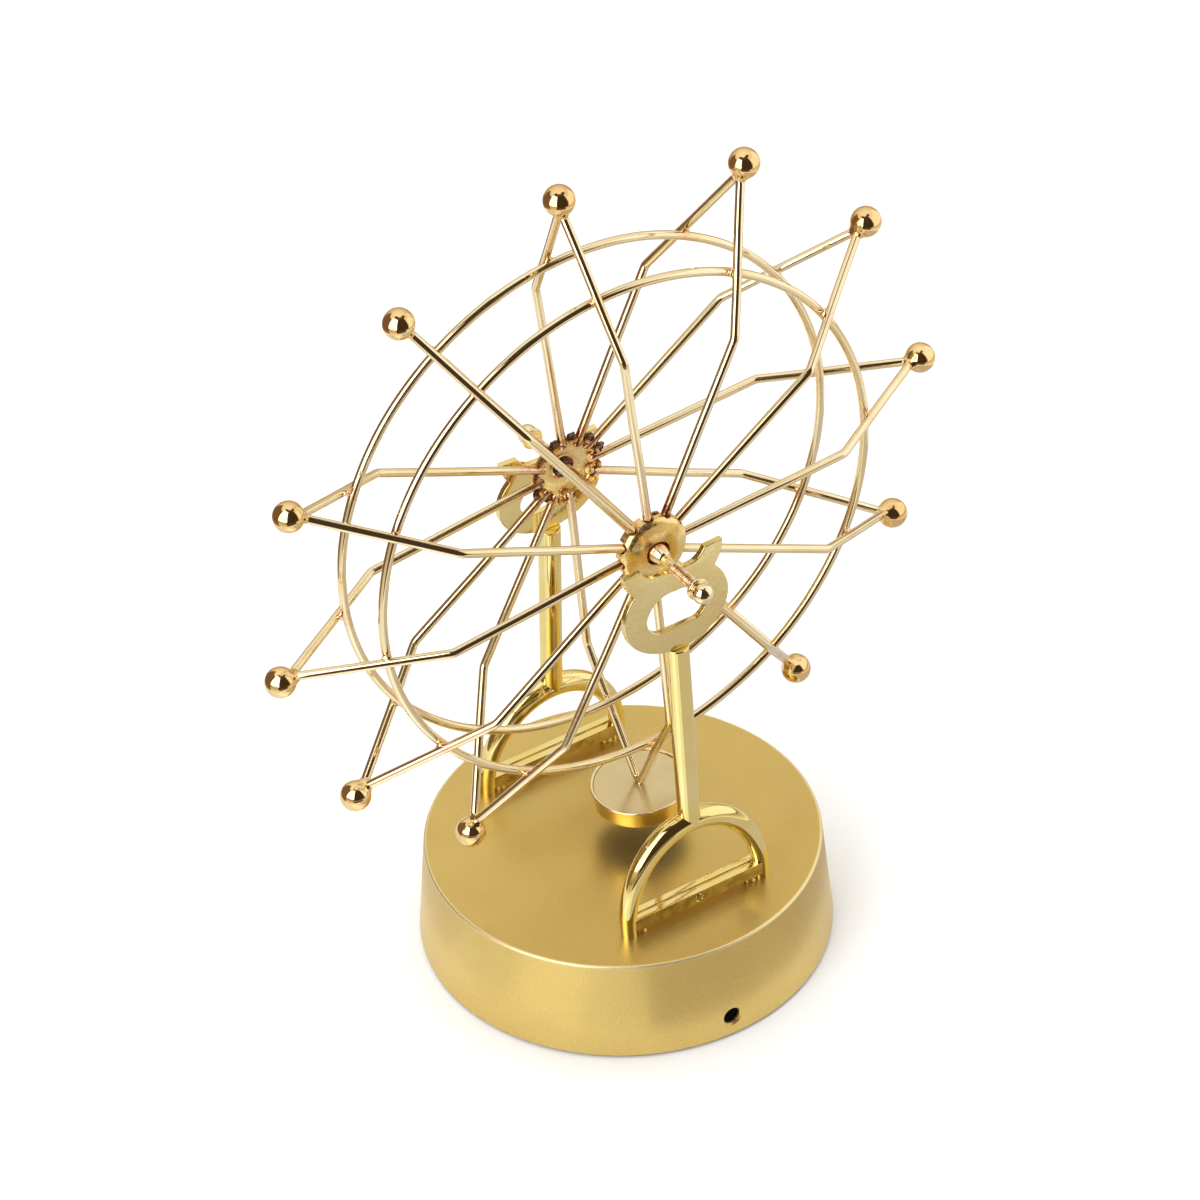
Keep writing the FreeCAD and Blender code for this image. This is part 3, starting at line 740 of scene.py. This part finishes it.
def make_yoke(side):
    """A plate with rounded edges, filled between its outline and its hole."""
    edge = yoke_edge * MM
    flat = configure(
        bpy.data.curves.new("yoke_outline", "CURVE"), dimensions="2D", fill_mode="BOTH",
        extrude=yoke_thickness / 2 * MM - edge, bevel_depth=edge, bevel_resolution=3, offset=-edge)
    for outline in yoke_outlines():
        spline = flat.splines.new("POLY")
        spline.points.add(len(outline) - 1)
        for point, (x, y) in zip(spline.points, outline):
            point.co = (x * MM, y * MM, 0, 1)
        spline.use_cyclic_u = True
    drawing = add_to_scene("yoke_outline", flat)
    shaped = drawing.evaluated_get(bpy.context.evaluated_depsgraph_get())
    plate = add_to_scene("bull_head_" + SIDES[side], bpy.data.meshes.new_from_object(shaped))
    bpy.data.objects.remove(drawing)
    outward = side * (yoke_front_face - yoke_thickness / 2)
    place = stand(side) @ at(0, outward, yoke_bottom) @ OUTWARD[-1]
    place.translation *= MM
    plate.data.transform(place)
    mend(plate, 0.002)
    smooth(plate, 50)
    hold_flats(plate)
    plate.data.materials.clear()
    # The two yokes are the same plate; the front one's darker gold is painted shade.
    finish = front_yoke_shaded_gold if side < 0 else support_gold
    dress(plate, "base", "satin_gold_yoke", finish, "yoke_" + SIDES[side])


# Wheel: a spoke is drawn along +X and turned about the axle

def spoke_place(number):
    lean = spoke_lean[number - 1]
    return at(0, 0, wheel_height) @ turned(-(first_spoke_angle - 360.0 / spoke_count * number + lean), "Y")


def axle_distance(point):
    return math.hypot(point.x, point.z - wheel_height)


def near(distance, reach):
    """1 at no distance, fading smoothly to 0 at the reach."""
    share = max(0.0, 1 - abs(distance) / reach)
    return share * share * (3 - 2 * share)


def make_spoke(number):
    half = kink_half_spacing
    corners = [Vector(corner) for corner in (
        (spoke_inner_radius, half, 0), (kink_radius, half, 0), (tip_apex_radius, 0, 0),
        (kink_radius, -half, 0), (spoke_inner_radius, -half, 0))]
    line = bent_line(corners, [kink_bend, tip_bend, kink_bend], 2.2)
    seed = Vector((number * 7.1, number * 2.3, 0))
    wavy = [point + noise.noise_vector(point / 24 + seed) * spoke_waviness for point in line]
    end = wire_radius - 0.2
    radii = [end] + [wire_radius] * len(wavy) + [end]
    wavy = [wavy[0], wavy[0].lerp(wavy[1], 0.1)] + wavy[1:-1] + [wavy[-1].lerp(wavy[-2], 0.1), wavy[-1]]
    wire = make_object("spoke_wire_%02d" % number, moved(sweep(wavy, radii, 20), spoke_place(number)))
    tip_burn = 0.0 if number == magnet_spoke else 0.25

    def heat_at(point):
        r = axle_distance(point)
        burn = spoke_burn[-1 if point.y < 0 else 1][number - 1]
        at_hub, at_ring = near(r - 9, 14) * burn, near(r - ring_radius, 4.0) * 0.2
        return max(at_hub, at_ring, near(r - tip_apex_radius, 4) * tip_burn)

    heat_colours(wire, heat_at)
    dress(wire, "wheel", "gold_wire", wire_gold, "spoke_%02d" % number)


def make_tip_ball(number):
    """A ball with a solder collar that runs out over the bend of the wire."""
    steps = 26
    start = math.radians(37)
    profile = [(0, -5.6), (0.9, -5.45), (1.35, -5.0), (1.6, -4.5), (1.95, -3.95)]
    for k in range(steps + 1):
        up, out = polar(ball_radius, start + (math.pi - start) * k / steps)
        profile.append((out, -up))
    points, faces = revolve(profile, 48)
    for point in points:
        collar = max(0.0, min(1.0, (-3.3 - point.z) / 1.2))
        point.y *= 1 + 0.55 * collar
    ball = moved((points, faces), spoke_place(number) @ at(ball_circle_radius, 0, 0) @ TO_X)
    dress(make_object("tip_%02d" % number, ball, 70), "wheel", "gold_ball", ball_gold, "ball_%02d" % number)


def ring_offset():
    run = tip_apex_radius - kink_radius
    slant = math.hypot(run, kink_half_spacing)
    return kink_half_spacing - (ring_touch * slant + kink_half_spacing * (ring_radius - kink_radius)) / run


def make_ring(side):
    """A hoop of wire, butt welded at one place, with a trace of waviness."""
    count = 260
    weld_turn = math.radians(70 + 40 * side)
    line = []
    radii = []
    for k in range(count):
        turn = 2 * math.pi * k / count
        out = ring_radius + ring_waviness * noise.noise(Vector((*polar(3, turn), side * 5)))
        across, up = polar(out, turn)
        line.append(Vector((across, side * ring_offset(), wheel_height + up)))
        radii.append(wire_radius + 0.16 * near((turn - weld_turn) * ring_radius, 1.8))
    ring = make_object("hoop_" + SIDES[side], sweep(line, radii, 20, closed=True))
    crossings = [spoke_place(number) @ Vector((ring_radius, side * ring_offset(), 0)) for number in SPOKES]

    def burnt(point):
        return 0.22 * max(near((point - crossing).length - wire_radius, 4.5) for crossing in crossings)

    heat_colours(ring, burnt)
    dress(ring, "wheel", "gold_wire", wire_gold, "ring_" + SIDES[side])


def make_ring_joints():
    """A small weld where each spoke leg crosses a hoop."""
    leg = Vector((tip_apex_radius - kink_radius, -kink_half_spacing, 0)).normalized()
    across = Vector((-leg.y, leg.x, 0))
    basis = Matrix((leg, across, Vector((0, 0, 1)))).transposed().to_4x4()
    rear = Matrix.Translation(Vector((ring_radius, ring_offset(), 0)) + across * wire_radius) @ basis
    welds = []
    for number in SPOKES:
        for side in SIDES:
            place = rear if side > 0 else MIRROR_Y @ rear
            drop = blob((1.5, 0.75, 1.45), number * 2 + side, 0.3, 14)
            welds.append(moved(drop, spoke_place(number) @ place))
    piece = make_object("hoop_welds", joined(welds), 80)
    heat_colours(piece, lambda point: 0.2)
    dress(piece, "wheel", "gold_wire", wire_gold)


def hub_cutters(side):
    """Round-ended slots, one for each spoke wire, open towards the middle of the wheel."""
    slot = wire_radius + 0.28
    outline = []
    for degrees in range(-90, 91, 15):
        out, across = polar(slot, math.radians(degrees))
        outline.append((kink_half_spacing + 0.25 + out, across))
    outline += [(hub_rim_y - 2, slot), (hub_rim_y - 2, -slot)]
    cutter = moved(prism(outline, 8.0, 13.0), ALONG_X)
    if side < 0:
        cutter = moved(cutter, MIRROR_Y)
    return joined([moved(cutter, spoke_place(number)) for number in SPOKES])


def make_hub(side):
    """A domed cap pressed from sheet, with a notch for each spoke and a burnt rim."""
    face = hub_face_y
    inner = hub_radius - hub_sheet
    outside = rounded([(hub_radius, hub_rim_y, 0), (hub_radius, face - 1.1, 2.3), (6.2, face - 0.1, 7.0),
                       (hub_bore, face + 0.1, 0)], steps=10)
    inside = rounded([(hub_bore, face - 0.9, 0), (6.0, face - 1.1, 6.0), (inner, face - 2.1, 1.4),
                      (inner, hub_rim_y, 0)], steps=8)
    place = at(0, 0, wheel_height) @ OUTWARD[side]
    cap = make_object("hub_cap_" + SIDES[side], moved(revolve(outside + inside, 180, closed=True), place))
    carve(cap, hub_cutters(side))
    exits = [spoke_place(number) @ Vector((hub_radius, side * kink_half_spacing, 0)) for number in SPOKES]
    torch_side = Vector((-2.0, side * face, wheel_height + 8.5))
    rim_burn = 0.3 if side < 0 else 0.45

    def heat_at(point):
        at_rim = near(abs(point.y) - hub_rim_y, 2.2) * rim_burn
        at_exit = near(min((point - place).length for place in exits) - 1.3, 1.3) * (rim_burn + 0.2)
        blush = 0.14 * near((point - torch_side).length, 13.0)
        return max(at_rim, at_exit, blush, near(axle_distance(point) - hub_bore, 0.8) * 0.4)

    heat_colours(cap, heat_at)
    hold_flats(cap)
    dress(cap, "wheel", "gold_hub", hub_gold, "hub_" + SIDES[side])


def make_hub_solder(side):
    """Burnt solder: a web between neighbouring wires, and a collar where each wire enters the hub."""
    lumps = []
    half_step = turned(180.0 / spoke_count, "Y")
    for number in SPOKES:
        web = solder_web[side][number - 1]
        if web > 0:
            size = (0.4 + 1.3 * web, 0.5 + 0.4 * web, 0.95 + 0.55 * web)
            place = spoke_place(number) @ half_step @ at(9.7 + 1.5 * web, side * (20.9 - 0.3 * web), 0)
            lumps.append(moved(blob(size, number + side * 40, 0.4, 26), place))
        burnt = max(web, solder_web[side][number - 2])
        seed = number * 5 + side * 40
        drift = noise.noise_vector(Vector((seed * 1.7, seed * 0.9, 1))) * 0.4
        collar = Matrix.Translation(Vector((9.0, side * 21.2, 0)) + drift)
        lumps.append(moved(blob((0.7 + 0.5 * burnt, 1.1, 1.35), seed, 0.4, 24), spoke_place(number) @ collar))
    ring_edge = 4.2 if side < 0 else 3.2
    ring = rounded([(axle_radius, 22.5, 0), (ring_edge, 22.6, 0.2), (ring_edge, 23.3, 0.1),
                    (axle_radius, 23.3, 0)], steps=3)
    lumps.append(moved(revolve(ring, 60, closed=True), at(0, 0, wheel_height) @ OUTWARD[side]))
    dress(make_object("hub_solder_" + SIDES[side], joined(lumps), 80), "wheel", "gold_hub", solder)


def thread_profile_radius(y, turn, side):
    """Radius of the axle's threaded end: a rounded ridge that climbs one pitch each turn."""
    phase = (y / thread_pitch - side * turn / (2 * math.pi)) % 1.0
    return thread_radius - thread_depth * (0.5 - 0.5 * math.cos(2 * math.pi * phase)) ** 0.8


def half_axle(side):
    """The axle from the middle of the wheel to one end: a conical collar, a neck and a thread."""
    segments = 40
    end = nut_reach[side] + thread_end_past_nut
    stations = [(hub_face_y + past, radius) for past, radius in (
        (-hub_face_y, axle_radius), (-1.6, axle_radius), (-1.55, collar_radius), (0.15, collar_radius),
        (0.35, collar_radius - 0.15), (0.9, 2.75), (1.8, 2.35), (3.0, 2.05), (3.2, 1.95),
        (3.5, neck_radius + 0.05), (3.9, neck_radius))]
    stations.append((thread_start_y - 0.1, neck_radius))
    count = round((end - thread_start_y) / (thread_pitch / 10))
    stations += [(thread_start_y + (end - thread_start_y) * k / count, None) for k in range(count + 1)]
    rings = []
    for y, radius in stations:
        ring = []
        for i in range(segments):
            turn = 2 * math.pi * i / segments
            across, up = polar(radius or thread_profile_radius(y, turn, side), turn)
            ring.append(Vector((across, side * y, wheel_height + up)))
        rings.append(ring)
    return loft(rings, flat_ends=(-1,))


def make_axle():
    rod = make_object("axle_rod", joined([half_axle(side) for side in SIDES]), 45, gap=0.001)

    def heat_at(point):
        depth = abs(point.y)
        on_thread = 0.36 if depth > thread_start_y else 0.0
        return max(on_thread, near(depth - hub_face_y - 0.5, 1.6) * 0.4, near(depth - 20, 7) * 0.6)

    heat_colours(rod, heat_at)
    dress(rod, "wheel", "axle_steel", axle_gold, "axle")


def make_nuts():
    """Ball nuts: a polished ball with a rounded flange behind it."""
    back = -nut_flange_back
    front = back + nut_flange_thickness
    bore = thread_radius + 0.02
    waist = math.sqrt(nut_radius ** 2 - (front + 0.1) ** 2)
    profile = [(0, back + 0.3), (bore, back + 0.3)]
    profile += rounded([(bore, back, 0), (nut_flange_radius, back, 0.4), (nut_flange_radius, front, 0.4),
                        (waist - 0.1, front, 0)], steps=5)
    first = math.acos(-(front + 0.1) / nut_radius)
    for k in range(25):
        up, out = polar(nut_radius, first + (math.pi - first) * k / 24)
        profile.append((out, -up))
    nuts = [moved(revolve(profile, 48), at(0, side * reach, wheel_height) @ OUTWARD[side])
            for side, reach in nut_reach.items()]
    dress(make_object("ball_nuts", joined(nuts), 50), "wheel", "gold_ball", nut_gold, "axle_nuts")


def make_magnet_cup():
    """A drawn cup with a lip around its open side, facing the axle, and a disc and a solder bead in it."""
    end = cup_lip_at + cup_depth
    inner = cup_radius - cup_wall
    side = cup_radius - cup_lip_overhang
    under_lip = cup_lip_at + cup_lip_height
    corners = [(0, end, 0), (side, end, 1.1), (side, under_lip + cup_lip_overhang, 0.3),
               (cup_radius, under_lip, 0.3), (cup_radius, cup_lip_at, 0.4), (inner, cup_lip_at, 0.3),
               (inner, end - cup_floor, 0), (0, end - cup_floor, 0)]
    profile = [(p.x, -p.y) for p in rounded(corners)]
    place = spoke_place(magnet_spoke) @ turned(-90, "Y")
    cup = make_object("cup", moved(revolve(profile, 128), place), 50)
    hold_flats(cup)
    dress(cup, "wheel", "gold_ball", cup_gold, "magnet_cup")
    cup.data.materials.append(wire_gold)
    cup.data.materials.append(cup_end_painted_shade)
    outward = (spoke_place(magnet_spoke).to_3x3() @ Vector((1, 0, 0))).normalized()
    # Faces turned to the axle get the paler wire gold, a painted highlight on the lip; the closed end gets
    # the near-black gold, painted shade on the underside.
    for face in cup.data.polygons:
        away = face.normal.dot(outward)
        face.material_index = 2 if away > 0.95 else 1 if away < -0.3 else 0
    disc_radius, edge = inner - 0.06, 0.12
    low, high = -face_plate_at - face_plate_thickness, -face_plate_at
    disc = [(0, low), (disc_radius, low), (disc_radius, high - edge), (disc_radius - edge, high), (0, high)]
    plate = make_object("cup_face", moved(revolve(disc, 128), place), 30)
    dress(plate, "wheel", "polished_steel", plate_steel, "face_plate")
    bead = moved(blob((0.5, 1.5, 1.15), 3, 0.2), spoke_place(magnet_spoke) @ at(100.4, 0, 0))
    joint = make_object("cup_solder", bead, 80)
    heat_colours(joint, lambda point: 0.1)
    dress(joint, "wheel", "gold_wire", wire_gold)


# Screws of the bottom cover, seen from below

def make_cover_screws():
    """Pan-head screws with a cross recess, each left at its own turn."""
    seat = foot_height + 1.0
    low = seat - screw_head_height
    end = seat + screw_length
    screw = revolve(rounded([
        (0, low, 0), (screw_head_radius, low, 0.6), (screw_head_radius, seat, 0.1),
        (screw_shank_radius, seat, 0), (screw_shank_radius, end, 0.3), (0, end, 0)], steps=5), 40)
    long, short = screw_head_radius * 0.56, screw_head_radius * 0.13
    arm = [(long, -short), (long, short), (short, short)]
    cross = [turned(90 * k, "Z") @ Vector((x, y, 0)) for k in range(4) for x, y in arm]
    recess = prism([corner.xy for corner in cross], low - 0.5, low + screw_recess_depth)
    places = []
    for index, turn in enumerate(screw_turns):
        right, rear = index // 2 * 2 - 1, index % 2 * 2 - 1
        places.append(at(right * screw_circle, rear * screw_circle, 0) @ turned(turn, "Z"))
    piece = make_object("cover_screw_set", joined([moved(screw, place) for place in places]), 40)
    carve(piece, joined([moved(recess, place) for place in places]))
    dress(piece, "base", "plated_steel", zinc_plate, "cover_screws")


# Pieces that keep their own mesh

def dress_kept_nodes():
    plastics = {
        "bottom_cover": ("black_plastic", (0.018, 0.018, 0.019), 0.42),
        "rubber_feet": ("foot_rubber", (0.03, 0.03, 0.03), 0.75, 0.6, 0.5),
        "coil_bobbin": ("bobbin_nylon", (0.5, 0.48, 0.42), 0.4),
        "board_components": ("component_resin", (0.03, 0.03, 0.035), 0.25, 0.8, 0.1),
        "power_jack": ("jack_resin", (0.012, 0.012, 0.013), 0.35),
        "battery_lead_red": ("red_sleeve", (0.5, 0.02, 0.015), 0.3, 1.0, 0.1),
        "battery_lead_black": ("black_sleeve", (0.015, 0.015, 0.015), 0.3, 1.0, 0.1),
        "jack_leads": ("jack_lead_sleeve", (0.02, 0.02, 0.022), 0.3, 1.0, 0.1)}
    metals = {
        "battery_contacts": ("nickel_strip", (0.66, 0.63, 0.58), 0.25),
        "coil_core": ("core_iron", (0.35, 0.34, 0.33), 0.4),
        "coil_leads": ("enamelled_wire", (0.6, 0.25, 0.1), 0.3),
        "magnet": ("magnet_nickel", (0.5, 0.5, 0.5), 0.25)}
    finishes = {node: moulded_plastic(*look) for node, look in plastics.items()}
    finishes.update({node: plain_metal(*look) for node, look in metals.items()})
    finishes.update(
        battery_door=finishes["bottom_cover"], board_screws=zinc_plate, support_screws=zinc_plate,
        battery_cells=cell_sleeve(), coil_winding=wound_copper(), circuit_board=solder_mask())
    for node, finish in finishes.items():
        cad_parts[node].material_slots[0].material = finish


# Floor, light and camera

def add_floor():
    half = 6000
    corners = [Vector((x, y, 0)) for x, y in ((-half, -half), (half, -half), (half, half), (-half, half))]
    floor = make_object("floor", (corners, [(0, 1, 2, 3)]))
    look = new_look("floor_white", 0.0, (0.9, 0.9, 0.9), 0.7)
    tone = look.noise(400.0)
    look.feed(look.shader, {"Base Color": look.mixed(tone, (0.92, 0.92, 0.92), (0.9, 0.9, 0.9))})
    floor.data.materials.append(look.owner)


def add_softbox(name, place, aim, width, height, watts):
    lamp = add_to_scene(name, configure(
        bpy.data.lights.new(name, "AREA"), shape="RECTANGLE", size=width, size_y=height, energy=watts))
    towards = (Vector(aim) - Vector(place)).to_track_quat("-Z", "Y").to_euler()
    configure(lamp, location=place, rotation_euler=towards, visible_camera=False, visible_glossy=False)


def for_reflections_only(card, material):
    card.data.materials.append(material)
    for ray in ("camera", "diffuse", "shadow", "transmission", "volume_scatter"):
        setattr(card, "visible_" + ray, False)


def glowing(name, colour, glow=1.0):
    """A material that only gives off light; its colour is a tuple, or a function that adds its nodes."""
    look = new_look(name, 0.0, (0, 0, 0), 1.0)
    tone = colour(look) if callable(colour) else (*colour, 1)
    look.feed(look.shader, {"Specular IOR Level": 0.0, "Emission Color": tone, "Emission Strength": glow})
    return look.owner


def sheet(rows, columns, place):
    """A sheet of faces; place gives the point for a row and a column, both as shares from 0 to 1."""
    points = [place(row / rows, column / columns) for row in range(rows + 1) for column in range(columns + 1)]
    faces = []
    for row in range(rows):
        for first in range(row * (columns + 1), row * (columns + 1) + columns):
            faces.append((first, first + 1, first + columns + 2, first + columns + 1))
    return points, faces


def between(ends, share):
    return ends[0] + (ends[1] - ends[0]) * share


def seen_from(around, upward=0):
    """The way out from the middle, by degrees right of the camera's side and up from the floor."""
    turn = math.radians(camera_azimuth + around)
    flat, up = polar(1, math.radians(upward))
    return Vector((math.sin(turn) * flat, -math.cos(turn) * flat, up))


def add_floor_sector(name, around, reaches, height, colour):
    """A glowing sheet just above a sector of the floor, between two distances from the middle, that only
    reflections see: a painted patch of floor light and shade in the reflections.
    """
    def place(row, column):
        return seen_from(between(around, column)) * between(reaches, row) + Vector((0, 0, height))

    for_reflections_only(make_object(name, sheet(1, 24, place)), glowing(name, colour))


def add_reflector(name, around, upward, out, colour, glow):
    """A curved card around the wheel's middle that only reflections see."""
    def place(row, column):
        way = seen_from(between(around, column), between(upward, row))
        return way * out + Vector((0, 0, wheel_height))

    for_reflections_only(make_object(name, sheet(16, 24, place)), glowing(name, colour, glow))


def add_floor_glow():
    """A flat ring above the floor that only reflections see: bright next to the base, warm farther out."""
    def tone(look):
        reach = look.node("ShaderNodeVectorMath", {0: look.where}, operation="LENGTH").outputs["Value"]
        return look.ramp(reach, [
            (0.1, (1.0, 1.0, 0.98)), (0.3, (1.0, 0.99, 0.95)),
            (0.42, (0.8, 0.7, 0.55)), (0.9, (0.6, 0.5, 0.36))])

    ring = make_object("floor_glow", revolve([(75, 2), (600, 2), (2500, 2)], 96))
    for_reflections_only(ring, glowing("floor_glow", tone))


def add_world():
    """White for the camera, a warm studio for reflections and an even grey sky for soft light."""
    scene.world = bpy.data.worlds.new("studio")
    look = Look(scene.world, "BACKGROUND")
    rays = look.node("ShaderNodeLightPath", {}).outputs
    up = look.node("ShaderNodeSeparateXYZ", {"Vector": look.coordinates["Generated"]}).outputs["Z"]
    height = look.scaled(up, 0, 1, -1, 1)
    sky = look.ramp(height, [
        (0.0, (0.7, 0.7, 0.7)), (0.5, (0.3, 0.23, 0.15)), (0.6, (0.68, 0.57, 0.4)),
        (0.8, (0.9, 0.84, 0.72)), (1.0, (1.1, 1.1, 1.1))])
    plain_sky = look.ramp(height, [(0.5, (0.7, 0.7, 0.7)), (1.0, (1.1, 1.1, 1.1))])
    seen = look.mixed(rays["Is Diffuse Ray"], sky, plain_sky)
    seen = look.mixed(rays["Is Camera Ray"], seen, (1, 1, 1))
    look.feed(look.shader, {"Color": seen, "Strength": 1.0})


def add_camera():
    back, level_right = seen_from(0, camera_elevation), seen_from(90)
    level_up = back.cross(level_right)
    along, aside = polar(1, math.radians(camera_roll))
    right = level_right * along + level_up * aside
    up = level_up * along - level_right * aside
    camera = add_to_scene("camera", configure(
        bpy.data.cameras.new("camera"), lens=camera_lens, sensor_width=36, clip_start=0.05, clip_end=20))
    facing = Matrix((right, up, back)).transposed().to_4x4()
    camera.matrix_world = Matrix.Translation(Vector(camera_place) * MM) @ facing
    scene.camera = camera


make_base_shell()
for side in SIDES:
    make_arch(side)
    make_cross_bar(side)
    make_post(side)
    make_yoke(side)
    make_hub(side)
    make_hub_solder(side)
    make_ring(side)
make_ring_joints()
for number in SPOKES:
    make_spoke(number)
    if number != magnet_spoke:
        make_tip_ball(number)
make_axle()
make_nuts()
make_magnet_cup()
make_cover_screws()
dress_kept_nodes()
add_floor()
add_world()
add_reflector("camera_side", (-20, 60), (-8, 64), 0.45 / MM, (0.055, 0.036, 0.022), 1.0)
add_reflector("dark_canopy", (-75, 105), (62, 78), 0.46 / MM, (0.11, 0.075, 0.04), 1.0)
add_reflector("brown_side", (-131, -66), (-22, 47), 0.45 / MM, (0.2, 0.13, 0.08), 1.0)
add_reflector("window", (-67, -18), (2, 62), 0.44 / MM, (1, 1, 1), 3.0)
add_reflector("right_card", (66, 140), (-8, 45), 0.45 / MM, (1, 1, 0.97), 1.15)
add_floor_glow()
add_floor_sector("front_edge", (-20, 42), (340, 2500), 4, (0.12, 0.08, 0.05))
add_floor_sector("left_edge", (-150, -66), (300, 2500), 4, (0.3, 0.2, 0.12))
# Painted floor shade and floor light for the base's wall to reflect: a darker sector on the right, and a
# bright patch and a milder shade on the left.
add_floor_sector("right_shade", (6, 165), (70, 260), 3, (0.62, 0.575, 0.55))
add_floor_sector("left_shine", (-43, -16), (70, 220), 3, (1.3, 1.28, 1.24))
add_floor_sector("left_shade", (-140, -72), (70, 220), 3, (0.88, 0.85, 0.82))
add_softbox("overhead", (0.1, 0.35, 1.5), (0, 0, 0.1), 1.4, 1.2, 7)
add_softbox("left_box", (-0.75, -0.35, 0.75), (0, 0, 0.15), 0.5, 0.6, 4)
add_camera()
scene.view_settings.view_transform = "Standard"
